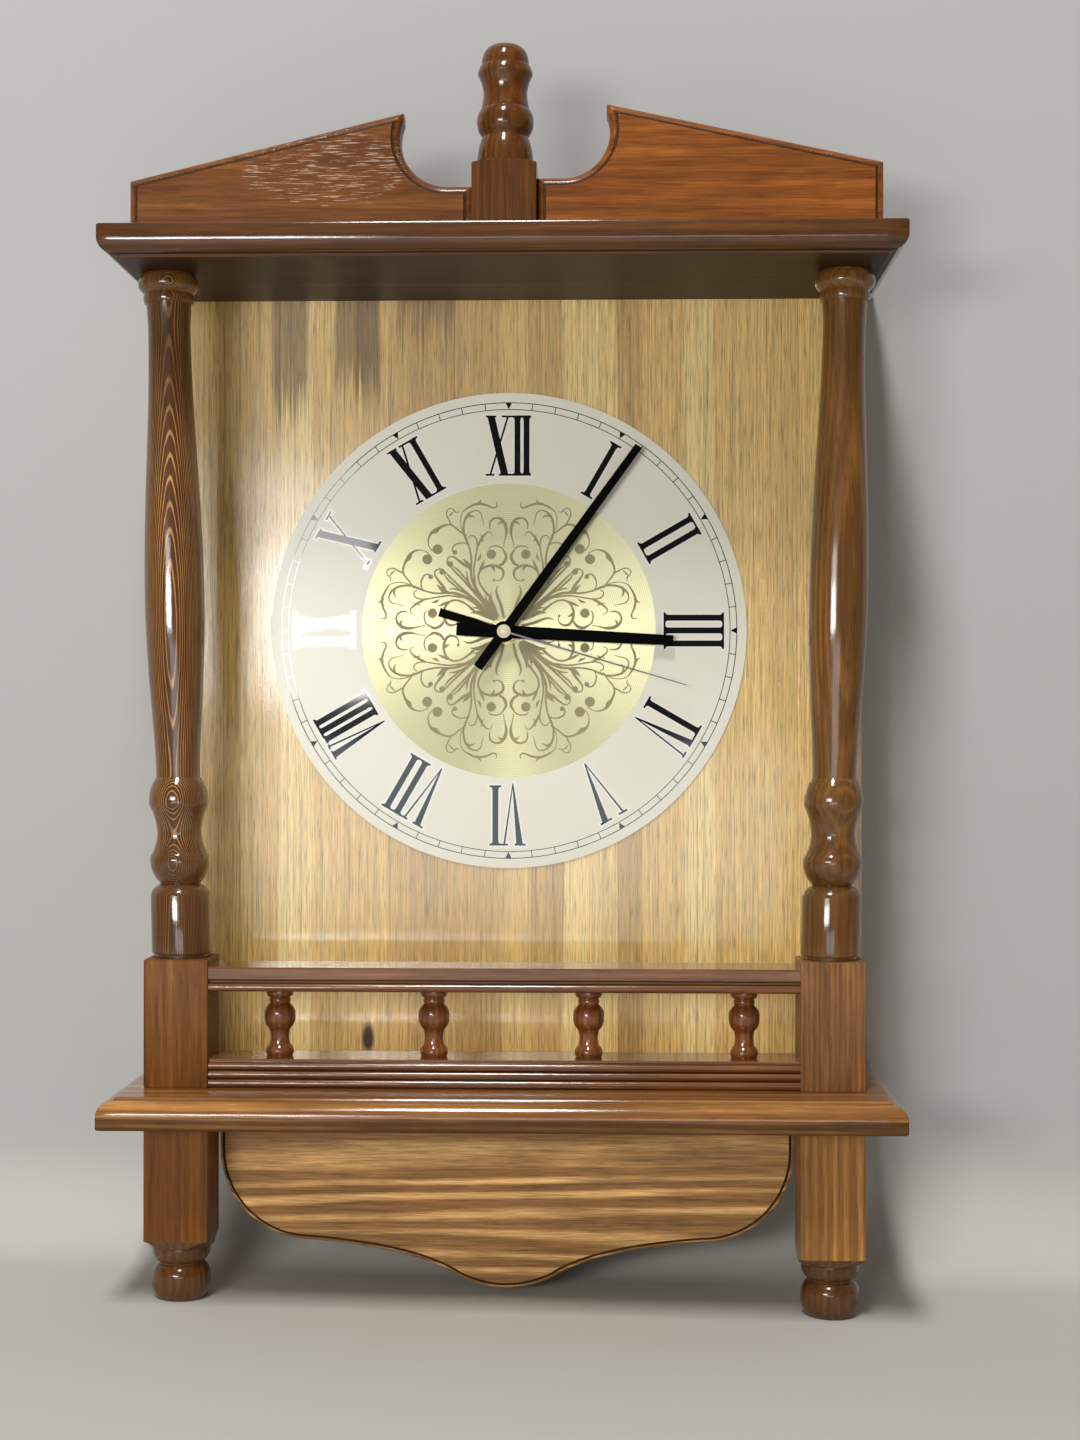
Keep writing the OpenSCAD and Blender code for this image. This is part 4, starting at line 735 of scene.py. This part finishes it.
def column():
    """The turned column from its drum at the bottom to its capital under the cornice."""
    groove_z, ball_z, waist_z, ring_z, shaft_z = 43.6, 59.58, 73.2, 90.1, 106.6
    neck_z, cap_z, top = 373.5, 387.5, 405.2
    return (
        [[15.2, 0], [15.2, 2.1], [17.1, 2.3], [17.55, 3.0], [17.55, 37.0]]
        + bow([17.55, 37.0], [12.9, groove_z - 1], 0.9)
        + [[11.7, groove_z]]
        + bow([12.5, groove_z + 1], [17.3, ball_z], 1.8, 10)
        + bow([17.3, ball_z], [13.0, waist_z], -0.9, 10)[1:]
        + bow([13.0, waist_z], [17.4, ring_z], -1.0, 10)[1:]
        + bow([17.4, ring_z], [12.9, shaft_z], 1.6, 12)[1:]
        + swell([12.9, shaft_z + 2], [17.6, shaft_z + 106], 0.8, 26)
        + swell([17.6, shaft_z + 106], [12.5, neck_z], 1.0, 34)[1:]
        + [[13.3, cap_z]]
        + bow([14.4, cap_z], [14.4, cap_z + 5.9], 0.5, 6)
        + bow([14.4, cap_z + 5.9], [17.85, cap_z + 10.1], 0.5, 8)[1:]
        + bow([17.85, cap_z + 10.1], [15.05, top], 0.9, 8)[1:]
    )


# Each column leans outwards by 8.6 mm over its height
LEAN = 8.6 / 405.2
for side, way, column_pine in (("left", -1, LEFT_COLUMN), ("right", 1, RIGHT_COLUMN)):
    shape = turned(column(), way * POST_X, POST_Y, BLOCK_TOP_Z, way * LEAN)
    piece(f"{side}_column_turned", *shape, column_pine, "post_pine", stands_for=[f"{side}_column"])


def gallery_rail(front, top):
    """A rail's closed profile: its moulded front, then a flat top and back 18 mm behind the posts' axis."""
    return [[v + POST_Y, z] for v, z in front] + [[18 + POST_Y, top], [18 + POST_Y, front[0][1]]]


reeds = [[-15.7, DECK_Z]]
for middle in (2.9, 7.9, 12.9):
    reeds += [[-14.6, DECK_Z + middle - 2.45]] + arc((-15.7, DECK_Z + middle), 2.3, 270, 90, 12)
reeds += [[-15.6, DECK_Z + 15.6], [-16.0, DECK_Z + 15.8], [-16.0, DECK_Z + 16.6], [-15.6, DECK_Z + 17]]
RAIL_END = POST_X - POST_HALF
piece("gallery_bottom_moulding", *run(gallery_rail(reeds, DECK_Z + 17), -RAIL_END, RAIL_END), RAILS,
      "post_pine", stands_for=["gallery_bottom_rail"])

bead = [[-15.6, 0]] + arc((-15.5, 2.5), 2.5, 268, 92, 12)
bead += [[-14.8, 5.2], [-14.8, 5.5], [-16.8, 5.7], [-17.0, 6.6], [-16.4, 6.8]]
bead += [[-17.6, 7.2], [-18.0, 7.6], [-18.0, 13.4], [-17.2, 14.3]]
bead = [[v, z + GALLERY_TOP_Z] for v, z in bead]
piece("gallery_top_moulding", *run(gallery_rail(bead, bead[-1][1]), -RAIL_END, RAIL_END), RAILS,
      "post_pine", stands_for=["gallery_top_rail"])

spindle = (
    [[2.0, -6], [2.9, -5.4], [3.0, 0], [7.4, 0]]
    + bow([7.4, 0], [8.3, 3.6], 0.3)
    + bow([8.3, 3.6], [6.0, 7.2], 0.3)[1:]
    + bow([6.0, 7.2], [6.2, 15.9], -0.6, 10)[1:]
    + bow([6.2, 15.9], [9.2, 23.4], 1.0, 10)[1:]
    + bow([9.2, 23.4], [6.4, 30.6], 1.0, 10)[1:]
    + [[5.9, 31.2], [6.3, 32.0], [6.4, 33.4], [5.8, 34.6]]
    + bow([7.0, 35.2], [8.0, 37.4], 0.3, 6)
    + [[7.9, 38.9], [7.3, 39.5], [3.0, 39.5], [3.0, 45.0], [2.4, 45.5]]
)
SPINDLE_Z = -438.5
for number, x in enumerate((-133.4, -41.8, 49.8, 141.4), 1):
    piece(f"gallery_spindle_turned_{number}", *turned(spindle, x, POST_Y, SPINDLE_Z, 0, 56), SPINDLES,
          "post_pine", stands_for=[f"gallery_spindle_{number}"])


def finial():
    """Square block, bell, ball, waist and knob, as (limit radius, height)."""
    z0, z1, z2, z3, z4 = 45.6, 61.8, 78.8, 99.1, 104.44
    return (
        [[40, 0, 0.4], [40, 0.5], [40, 36]]
        + bow([26.97, z0 - 2.6], [18.0, z0], 0.4, 16)
        + bow([16.5, z0], [13.75, z1], 0.9, 10)
        + bow([14.05, z1 + 1], [16.85, z1 + 9.52], 0.8, 8)
        + bow([16.85, z1 + 9.52], [14.25, z2], 0.7, 8)[1:]
        + bow([14.25, z2 + 0.4], [12.95, z2 + 8.93], -0.2, 8)
        + bow([12.95, z2 + 8.93], [16.3, z3], -0.7, 8)[1:]
        + bow([16.3, z3 + 0.2], [14.5, z4], 0.3, 6)
        + bow([14.1, z4 + 0.2], [0.05, z3 + 17.8], 5.2, 16)
    )


piece("finial_turned", *squared(finial(), 0, POST_Y, CROWN_Z, POST_HALF), FINIAL, "post_pine",
      stands_for=["finial"])


def pediment(end, flat):
    """The right half's outline above the cornice: sloping top, tip 5.2 mm above the scoop's end,
    scooped arc of radius 28 mm from 21.8 degrees down to its lowest point, low flat."""
    middle, radius, opening, outer = 34, 28, 21.8, 222.5
    a = math.radians(opening)
    tip = [middle + radius * math.cos(a), flat + radius * (1 + math.sin(a)) + 5.2]
    scoop = arc((middle, flat + radius), radius, opening, -90, 40)
    shape = [[POST_HALF, 0], [outer, 0], [outer, end], tip] + scoop + [[POST_HALF, flat]]
    return [[x, z + CROWN_Z] for x, z in shape]


right_half = pediment(45.4, 37.0)
left_half = [[-x, z] for x, z in reversed(pediment(36.7, 32.4))]
left_board = piece("left_pediment_board", *routed(left_half, *PEDIMENT_Y, 5.0), LEFT_TOP,
                   "cornice_pine", stands_for=["left_pediment"])
right_board = piece("right_pediment_board", *routed(right_half, *PEDIMENT_Y, 5.0), RIGHT_TOP,
                    "cornice_pine", stands_for=["right_pediment"])

# The apron's lower edge from its middle: a shallow parabola, an easy sweep, then a quarter circle
low = SHELF_Z - 107.7
lobe = [[x, low + 7 * (x / 28.9) ** 2] for x in np.linspace(0, 28.9, 10)]
sweep = cubic(lobe[-1], [44.9, low + 17.7], [74.0, low + 24.7], [117.5, low + 28.2], 24)
apron = lobe + sweep[1:] + arc((118, low + 83.2), 55, 270, 360, 24) + [[RAIL_END, SHELF_Z]]
apron_board = piece("shaped_apron", *routed(mirrored(apron), *APRON_Y, 3.4), APRON, "apron_pine",
                    stands_for=["apron"])
# The step's wall and the crease at its foot take the painted shade
for board, front in ((left_board, PEDIMENT_Y[0]), (right_board, PEDIMENT_Y[0]), (apron_board, APRON_Y[0])):
    board.data.materials.append(STEP_SHADE)
    for face in board.data.polygons:
        face.material_index = 1 if 0.1 < face.center.y * 1000 - front < 1.15 else 0


# ---------------------------------------------------------------- dial

def sector(r0, r1, start, end, count):
    """A band between two radii from start to end, in degrees clockwise from the top."""
    a = np.radians(np.linspace(start, end, count))
    outer = np.stack([r1 * np.sin(a), r1 * np.cos(a)], 1)
    inner = np.stack([r0 * np.sin(a), r0 * np.cos(a)], 1)
    return outer, inner


def on_dial(points, middle=DIAL):
    """Dial coordinates, across and up from the centre, as the part's x and z."""
    return [(p[0] + middle[0], p[1] + middle[1]) for p in points]


def swung(points, degrees):
    """Points (u, v) turned clockwise from twelve: u cos a + v sin a across, v cos a - u sin a up."""
    a = math.radians(degrees)
    return [(u * math.cos(a) + v * math.sin(a), v * math.cos(a) - u * math.sin(a)) for u, v in points]


def band(r0, r1, start=0, end=360, count=361):
    """Points and faces of a sector lying on the dial."""
    outer, inner = sector(r0, r1, start, end, count)
    faces = [[i, i + 1, count + i + 1, count + i] for i in range(count - 1)]
    return on_dial(np.vstack([outer, inner])), faces


def joined(parts):
    """Several sets of points and faces as one."""
    points, faces = [], []
    for p, f in parts:
        faces += [[i + len(points) for i in face] for face in f]
        points += list(p)
    return points, faces


GOLD_R = 92.4
disc = [(GOLD_R * math.sin(a), GOLD_R * math.cos(a)) for a in np.radians(range(0, 360, 2))]
piece("gold_centre", *printed([on_dial(disc)], FACE_Y - 0.04, FACE_Y + 0.02), GOLD, "dial_face")

# Two fine circles with a rung between them at each minute and a wedge at each hour
INNER_LINE = (138.85, 139.3)
OUTER_LINE = (143.05, 143.55)
track = [band(*OUTER_LINE), band(*INNER_LINE)]
for minute in range(60):
    angle = 6 * minute
    if minute % 5:
        track.append(band(INNER_LINE[1], OUTER_LINE[0], angle - 0.1, angle + 0.1, 2))
    else:
        wedge = [(-1.9, OUTER_LINE[0]), (1.9, OUTER_LINE[0]), (0, INNER_LINE[1])]
        track.append((on_dial(swung(wedge, angle)), [[0, 1, 2]]))
flat, faces = joined(track)
piece("minute_track", *thick(flat, faces, FACE_Y - 0.05, FACE_Y + 0.02), INK, "dial_face")

# Each numeral upright with its top outwards: I at u; V from its thick top to its point and thin
# top; X from thick top and foot to thin top and foot; T and B are the bars along top and bottom
NUMERALS = {
    1: ["I -0.3", "T -4.1 3.9", "B -4.1 3.9"],
    2: ["I -3.6", "I 5.0", "T -7.2 8.2", "B -7.2 8.2"],
    3: ["I -8.0", "I 0.0", "I 8.2", "T -11.4 11.6", "B -11.4 11.6"],
    4: ["I -4.7", "V 3.9 7.4 13.0", "T -8.8 6.6", "T 10.2 14.6", "B -8.8 -0.4"],
    5: ["V 7.4 0.3 -5.7", "T 2.5 10.7", "T -8.5 -2.4"],
    6: ["V -7.1 -2.8 2.7", "I 8.2", "T -10.9 -3.9", "T 0.2 12.0", "B 4.4 12.0"],
    7: ["V -11.3 -7.1 -1.9", "I 3.6", "I 11.0", "T -15.3 -8.0", "T -4.2 14.6", "B 0.2 14.6"],
    8: ["V -12.9 -10.2 -6.6", "I -1.9", "I 3.8", "I 9.6", "T -16.0 -9.8", "T -8.6 12.9", "B -4.8 12.9"],
    9: ["I -6.9", "X 0.9 7.4 8.2 1.2", "T -10.6 3.9", "T 5.6 11.2", "B -10.6 3.4", "B 4.6 11.6"],
    10: ["X -7.2 4.1 6.4 -8.2", "T -10.8 -3.6", "T 3.0 9.0", "B -11.0 -5.4", "B 0.6 8.2"],
    11: ["X -7.2 -1.3 0.3 -8.3", "I 7.2", "T -10.8 -4.0", "T -2.4 11.0", "B -10.8 -5.6", "B -3.8 11.0"],
    12: ["X -11.3 -2.4 -0.3 -11.8", "I 5.5", "I 11.2", "T -14.4 -7.8", "T -4.4 14.0", "B -14.6 -9.0",
         "B -6.2 14.0"],
}
# Radii of the numerals' feet and heads, the bars' height, and half widths of the strokes
FOOT_R, HEAD_R, BAR = 97.4, 135.3, 1.2
STEM, THICK_V, THICK_X, THIN = 1.85, 2.1, 2.35, 0.62
# Radius of the hollow between a stem and its bar
BRACKET = 1.7


def strokes(parts, grow):
    """A numeral's convex shapes in (u, r), each grown outwards by the given amount."""
    shapes = []
    low_r, high_r = FOOT_R - grow, HEAD_R + grow
    for part in parts:
        kind, *v = part.split()
        v = [float(n) for n in v]
        if kind == "I":
            w = STEM + grow
            shapes.append([(v[0] - w, low_r), (v[0] + w, low_r), (v[0] + w, high_r), (v[0] - w, high_r)])
            for r, up in ((FOOT_R, 1), (HEAD_R, -1)):
                for s in (-1, 1):
                    side, lift = v[0] + s * w, r + up * (BAR - 0.1)
                    hollow = [
                        (side + s * BRACKET * (1 - math.sin(t)), lift + up * BRACKET * (1 - math.cos(t)))
                        for t in np.radians(np.linspace(0, 90, 6))
                    ]
                    root = (side - s * 0.3, lift - up * 0.6)
                    shapes += [[root, a, b] for a, b in zip(hollow, hollow[1:])]
        elif kind == "V":
            tip, point = 0.35 + grow * 0.8, FOOT_R - 1.2 - grow
            for top, w in ((v[0], THICK_V + grow), (v[2], THIN + grow)):
                foot_line = [(v[1] - tip, point), (v[1] + tip, point)]
                shapes.append(foot_line + [(top + w, high_r), (top - w, high_r)])
        elif kind == "X":
            for top, bottom, w in ((v[0], v[1], THICK_X + grow), (v[2], v[3], THIN + grow)):
                foot_line = [(bottom - w, low_r), (bottom + w, low_r)]
                shapes.append(foot_line + [(top + w, high_r), (top - w, high_r)])
        else:
            r0, r1 = (HEAD_R - BAR, HEAD_R) if kind == "T" else (FOOT_R, FOOT_R + BAR)
            a, b = v[0] - grow, v[1] + grow
            shapes.append([(a, r0 - grow), (b, r0 - grow), (b, r1 + grow), (a, r1 + grow)])
    return shapes


def round_dial(hour, shapes):
    """Shapes in (u, r) of one numeral, turned to its hour."""
    return [on_dial(swung(shape, 30 * hour)) for shape in shapes]


RIM_WIDTH = 1.0
for hour, parts in NUMERALS.items():
    wide, narrow = (round_dial(hour, strokes(parts, grow)) for grow in (RIM_WIDTH, 0))
    piece(f"numeral_rim_{hour}", *printed(wide, FACE_Y - 0.02, FACE_Y + 0.02), RIM, "dial_face")
    piece(f"numeral_{hour}", *printed(narrow, FACE_Y - 0.06, FACE_Y - 0.01), INK, "dial_face")


def ribbon(points, widths, count=44):
    """Quads of a smooth curve through points whose width eases through the given widths. Between
    points b and c, with a before and d after them, the curve at share f of the way is half of
    2b + (c - a) f + (2a - 5b + 4c - d) f^2 + (3b - a - 3c + d) f^3."""
    p = np.array(points, float)
    n = len(p)
    t = np.linspace(0, n - 1, count)
    ext = np.vstack([2 * p[0] - p[1], p, 2 * p[-1] - p[-2]])
    out = []
    for s in t:
        i = min(int(s), n - 2)
        f = s - i
        a, b, c, d = ext[i], ext[i + 1], ext[i + 2], ext[i + 3]
        second, third = 2 * a - 5 * b + 4 * c - d, 3 * b - a - 3 * c + d
        out.append(0.5 * (2 * b + (c - a) * f + second * f * f + third * f ** 3))
    out = np.array(out)
    tangent = np.gradient(out, axis=0)
    normal = np.column_stack([-tangent[:, 1], tangent[:, 0]]) / np.hypot(*tangent.T)[:, None]
    w = np.interp(t, np.linspace(0, n - 1, len(widths)), widths)[:, None] / 2
    left, right = out + normal * w, out - normal * w
    return [[right[i], right[i + 1], left[i + 1], left[i]] for i in range(count - 1)]


# One eighth of the scrollwork, between the vertical and the diagonal: the points of each stroke
# across and up from the centre, then the widths that it swells and tapers through, in millimetres
SPRAY = [
    ([(28.7, 75.1), (27.3, 76.2), (23.7, 78.4), (19.4, 79.8), (14.4, 79.1), (10.9, 77.6), (8.7, 77.3),
      (7.4, 78.7), (8, 80.8)], [0.6, 1.2, 1.6, 1.1, 0.9, 0.5]),
    ([(20.2, 79.2), (18.4, 80.6), (17.3, 82.6)], [1.8, 1.4, 0.3]),
    ([(28.7, 62), (29.9, 65), (30.4, 69.4), (29.8, 73), (28.4, 75.6)], [0.7, 0.6, 0.6, 0.7]),
    ([(25.4, 54), (27.6, 58.8), (28.4, 64.4), (27.6, 69.4), (25.9, 72.6), (23.4, 74.8), (20.1, 75.5),
      (17.6, 73.7), (16.6, 70.1), (15.6, 66.4)], [1.0, 1.1, 1.3, 1.5, 1.3, 0.9, 0.8, 0.6, 0.4]),
    ([(26.8, 70.8), (24.6, 72.2), (22.6, 71.9), (21, 70.7)], [0.4, 1.5, 1.0, 0.3]),
    ([(26.6, 59.6), (30.9, 62.6), (35.1, 65.9), (38.7, 66.6), (43, 65.1), (46.6, 63), (49.1, 60.9),
      (50.4, 58), (50.7, 55.1), (49.8, 52.3), (48, 50)], [0.8, 1.0, 1.1, 1.4, 2.2, 1.4, 0.8, 0.6, 0.8]),
    ([(42, 65.4), (45.8, 62.2), (47.6, 61)], [0.4, 1.7, 0.3]),
    ([(36.2, 66.4), (37.6, 69.4), (39.1, 72.6), (38.7, 75.5), (36.9, 76.9), (34.8, 76.2), (33.4, 74.6),
      (30.9, 74.6)], [1.0, 0.9, 0.8, 0.7, 0.6, 0.9, 0.4]),
    ([(37.8, 71.6), (36.2, 73.6), (34.6, 75)], [0.3, 1.1, 0.5]),
    ([(11.9, 63.6), (11.9, 67.3), (10.5, 69.8), (7.6, 70.9), (4.4, 69.8), (2.1, 66.6), (1.4, 62.3),
      (2, 58.7), (2.7, 56), (3.1, 52.4)], [0.6, 1.1, 1.2, 1.2, 1.8, 2.2, 1.8, 0.9, 0.6, 0.6]),
    ([(3.2, 67.6), (5.2, 68), (7, 66.6)], [0.4, 1.4, 0.3]),
    ([(12.6, 51.2), (10.9, 52.9), (7.3, 53.1), (4.4, 51.9), (2.8, 49.6), (1.6, 47.3), (2, 44.6),
      (3.6, 42.2), (5.9, 40.9)], [0.5, 0.8, 0.9, 0.9, 1.6, 2.0, 1.8, 1.2]),
    ([(12.3, 21.6), (15.9, 25.9), (18.4, 30.1), (19.1, 34.4), (17.6, 38), (14.4, 40.1), (10.1, 40.9),
      (5.9, 39.8), (3.4, 37.3), (3.7, 33.7), (5.9, 31.6), (9, 31.4)],
     [1.8, 1.3, 1.2, 1.2, 1.4, 1.5, 1.7, 1.8, 1.7, 1.2, 0.8, 0.4]),
    ([(11.4, 40.4), (9.6, 39.2), (8.8, 37)], [0.5, 1.8, 0.3]),
    ([(3, 8), (4.8, 15.9), (6.8, 20.9), (7.8, 25), (6.6, 28.6)], [1.6, 2.0, 1.7, 1.3, 0.3]),
    ([(6.5, 8.5), (9.6, 14.5), (11.4, 19.5), (11, 24)], [1.6, 3.2, 2.6, 0.3]),
    ([(9, 11), (13.5, 16.8), (14.6, 22.6)], [1.2, 2.8, 0.3]),
    ([(8, 10.5), (14, 17), (19.2, 23.7), (21.6, 28.7), (23.4, 33.7), (23.7, 38.7), (23.4, 43.7),
      (23.8, 48), (24.8, 52.3), (26, 56), (28, 61)], [1.6, 2.2, 2.4, 2.0, 1.6, 1.3, 1.2, 1.1, 1.0, 1.0]),
    ([(17.6, 22), (20.6, 27), (21.2, 31.4), (21.9, 36), (21.8, 39.6), (21.2, 43.7), (20.5, 48),
      (19.8, 52.3), (20, 56.4), (21.6, 59.2), (24.2, 59.6), (25.4, 57.6)],
     [1.4, 1.2, 1.1, 1.0, 0.9, 0.9, 0.6]),
    ([(19.9, 51.8), (17.8, 56.4), (15.9, 59.4), (13.4, 61.9), (11.2, 61.6), (10.1, 59)],
     [0.8, 1.7, 1.2, 0.9, 0.6, 0.4]),
    ([(17.2, 60.6), (16.6, 57.4), (15.6, 55.4)], [0.4, 1.2, 0.3]),
    ([(19.8, 43.6), (18.2, 45.8), (17.6, 48.4)], [0.4, 1.7, 0.5]),
    ([(18.2, 38.2), (16.4, 41.6), (15.2, 44.6)], [1.2, 1.7, 0.3]),
    ([(25.1, 53.4), (26.9, 54.8), (30.9, 55.1), (34.1, 53.7), (35.5, 51.6), (35, 49.4)],
     [0.8, 0.8, 0.9, 1.0, 0.9, 1.0]),
    ([(24.2, 37.4), (25.6, 41.6), (28.9, 45.2)], [0.6, 3.0, 0.4]),
    ([(25.6, 40), (28, 41.4), (30.9, 43.7), (34.4, 46.2), (36.6, 46.6), (38.4, 45.1), (38.7, 42.3),
      (37.6, 40.8)], [1.6, 1.9, 1.4, 1.0, 0.9, 0.9, 1.2]),
    ([(7, 7), (12.3, 13.7), (18, 20.1), (23.7, 26.6), (28.7, 31.9), (33.6, 36.9), (37.2, 40.6)],
     [1.6, 2.4, 2.2, 1.8, 1.3, 1.2, 0.8]),
    ([(24, 28.8), (28, 33.6), (32, 38.2), (35.6, 40.6)], [0.6, 1.3, 1.2, 0.6]),
    ([(26.4, 37.6), (26.2, 34), (24.4, 29), (20.4, 22.6)], [0.5, 1.2, 1.2, 1.0]),
]
# The round ends of its spirals: across, up and radius
BUDS = [(44.8, 51.2, 3.2), (10.9, 48, 3.0), (36.9, 41.8, 1.9), (33.8, 49.2, 1.5), (9.2, 31.8, 0.9)]
strokes_flat = [quad for path, widths in SPRAY for quad in ribbon(path, widths)]
for x, z, r in BUDS:
    strokes_flat.append([(x + r * math.cos(a), z + r * math.sin(a)) for a in np.radians(range(0, 360, 20))])
scroll = []
for shape in strokes_flat:
    for sx in (1, -1):
        for sz in (1, -1):
            scroll.append(on_dial([(x * sx, z * sz) for x, z in shape]))
            scroll.append(on_dial([(z * sx, x * sz) for x, z in shape]))
piece("gold_scrollwork", *printed(scroll, FACE_Y - 0.06, FACE_Y - 0.03), SCROLL, "dial_face")


# ---------------------------------------------------------------- second hand

SECOND_AT = 106.4
CAP_Y = -54.4
HUB_R = 5.0


def about(points):
    """Points (across, along) of the second hand, turned to its angle about the hands' axis."""
    return on_dial(swung(points, SECOND_AT), AXIS)


hub = [(HUB_R * math.cos(a), HUB_R * math.sin(a)) for a in np.radians(range(0, 360, 10))]
tail = [(-2.75, -42), (2.75, -42), (2.6, -18), (1.5, -8), (1.2, 0), (-1.2, 0), (-1.5, -8), (-2.6, -18)]
needle = [(-0.6, 0), (0.6, 0), (0.25, 119), (-0.25, 119)]
piece("second_hub_and_tail", *printed([about(hub), about(tail)], CAP_Y + 0.05, CAP_Y + 0.4), BLACK,
      "hand_black", "second", ["second_hand"])
piece("second_needle", *printed([about(needle)], CAP_Y, CAP_Y + 0.3), NEEDLE, "hand_black", "second")
dome = [[4.1, 0], [4.25, 0.3], [4.1, 0.6], [3.5, 0.6]] + bow([3.4, 0.8], [0.05, 1.9], 0.3, 10)
points, faces = turned(dome, 0, 0, 0, 0, 48)
points = np.column_stack([points[:, 0] + AXIS[0], CAP_Y - points[:, 2], points[:, 1] + AXIS[1]])
piece("second_cap", points, faces, CAP, "brass", "second")


# ---------------------------------------------------------------- stage, lamps, camera

def one_sided(name, wall, floor):
    """A plain wall and floor seen only from their front, so that they never hide the clock."""
    material, tree, shader = finish_of(name, {"Roughness": 0.9, "Specular IOR Level": 0.2})
    place = add(tree, "ShaderNodeTexCoord")
    axes = add(tree, "ShaderNodeSeparateXYZ", {0: (place, "Object")})
    low = add(tree, "ShaderNodeMapRange", {0: (axes, 2), 1: -0.50, 2: -0.585})
    tone = add(tree, "ShaderNodeMix", {0: (low, 0), 6: colour(wall), 7: colour(floor)}, data_type="RGBA")
    tree.links.new(tone.outputs[2], shader.inputs["Base Color"])
    side = add(tree, "ShaderNodeNewGeometry")
    clear = add(tree, "ShaderNodeBsdfTransparent")
    both = add(tree, "ShaderNodeMixShader", {0: (side, "Backfacing"), 1: (shader, 0), 2: (clear, 0)})
    tree.links.new(both.outputs[0], tree.nodes["Material Output"].inputs["Surface"])
    return material


# The backdrop's profile in metres: a wall 1 mm behind the clock, a cove of 65 mm radius, the ground
WALL_Y, COVE_R, COVE_Z = 0.001, 0.065, -0.52
GROUND_Z = COVE_Z - COVE_R
profile = [[WALL_Y, 3.0]] + [[WALL_Y, z] for z in np.linspace(2.0, COVE_Z, 12)]
profile += [[y + WALL_Y - COVE_R, COVE_Z + z] for y, z in arc((0, 0), COVE_R, -5, -90, 10)]
profile += [[y, GROUND_Z] for y in np.linspace(-0.2, -3.2, 14)]
verts, quads = [], []
stations = np.linspace(-2.6, 2.6, 14)
# The ground falls 7.4 mm over the 384 mm between the feet, because the right leg is longer
FALL = 0.01927
for x in stations:
    verts += [[x, y, z - 0.0005 - FALL * x * min(1, max(0, (-0.4 - z) / 0.18))] for y, z in profile]
rows = len(profile)
for i in range(len(stations) - 1):
    here, there = i * rows, (i + 1) * rows
    quads += [[here + j, here + j + 1, there + j + 1, there + j] for j in range(rows - 1)]
mesh = bpy.data.meshes.new("backdrop")
mesh.from_pydata(verts, [], quads)
mesh.shade_smooth()
mesh.materials.append(one_sided("plain_pale_backdrop", "#b6b5b3", "#c4c1b8"))
backdrop = bpy.data.objects.new("backdrop", mesh)
bpy.context.scene.collection.objects.link(backdrop)


def lamp(name, place, aim, width, height, watts, tint="#ffffff"):
    """A soft rectangular lamp that faces a point."""
    data = bpy.data.lights.new(name, "AREA")
    data.shape = "RECTANGLE"
    data.size, data.size_y, data.energy = width, height, watts
    data.color = colour(tint)[:3]
    thing = bpy.data.objects.new(name, data)
    thing.location = place
    thing.rotation_euler = (Vector(aim) - Vector(place)).to_track_quat("-Z", "Y").to_euler()
    bpy.context.scene.collection.objects.link(thing)


# A window to the left of the camera, whose upper part is dimmer; its mirror image lies round IX
lamp("left_front_window", (-0.62, -2.05, -0.09), (-0.05, 0, -0.15), 0.64, 0.22, 13.5)
lamp("dimmer_top_of_window", (-0.62, -2.05, 0.09), (-0.05, 0, -0.15), 0.64, 0.14, 2.6)
# The main light from above, and a weak bluish one from low in front
lamp("overhead_soft_box", (-0.2, -1.6, 2.3), (0, -0.2, -0.5), 0.36, 1.0, 61.0)
lamp("low_pale_sheet", (-0.1, -2.6, -0.62), (0, 0, -0.3), 1.3, 0.7, 11.0, "#dbe6f2")

world = bpy.data.worlds.new("pale_room")
bpy.context.scene.world = world
world.use_nodes = True
world.node_tree.nodes["Background"].inputs[0].default_value = colour("#f2ebe0")
world.node_tree.nodes["Background"].inputs[1].default_value = 0.15

# The camera as fitted to the photograph, with its focal length in the photograph's pixels
FOCAL, PHOTO_HEIGHT = 2199, 1440
YAW, PITCH, ROLL = math.radians(-1.76), math.radians(0.10), math.radians(0.05)
ahead = Vector((math.sin(YAW) * math.cos(PITCH), math.cos(YAW) * math.cos(PITCH), math.sin(PITCH)))
right = Vector((math.cos(YAW), -math.sin(YAW), 0))
up = right.cross(ahead)
camera = bpy.data.objects.new("camera", bpy.data.cameras.new("camera"))
camera.data.sensor_width = 36.0
camera.data.lens = FOCAL * camera.data.sensor_width / PHOTO_HEIGHT
rolled_right = right * math.cos(ROLL) + up * math.sin(ROLL)
rolled_up = up * math.cos(ROLL) - right * math.sin(ROLL)
turn = Matrix((rolled_right, rolled_up, -ahead)).transposed().to_4x4()
camera.matrix_world = Matrix.Translation((0.0608, -1.4252, -0.2418)) @ turn
bpy.context.scene.collection.objects.link(camera)
bpy.context.scene.camera = camera
bpy.context.scene.view_settings.view_transform = "Standard"
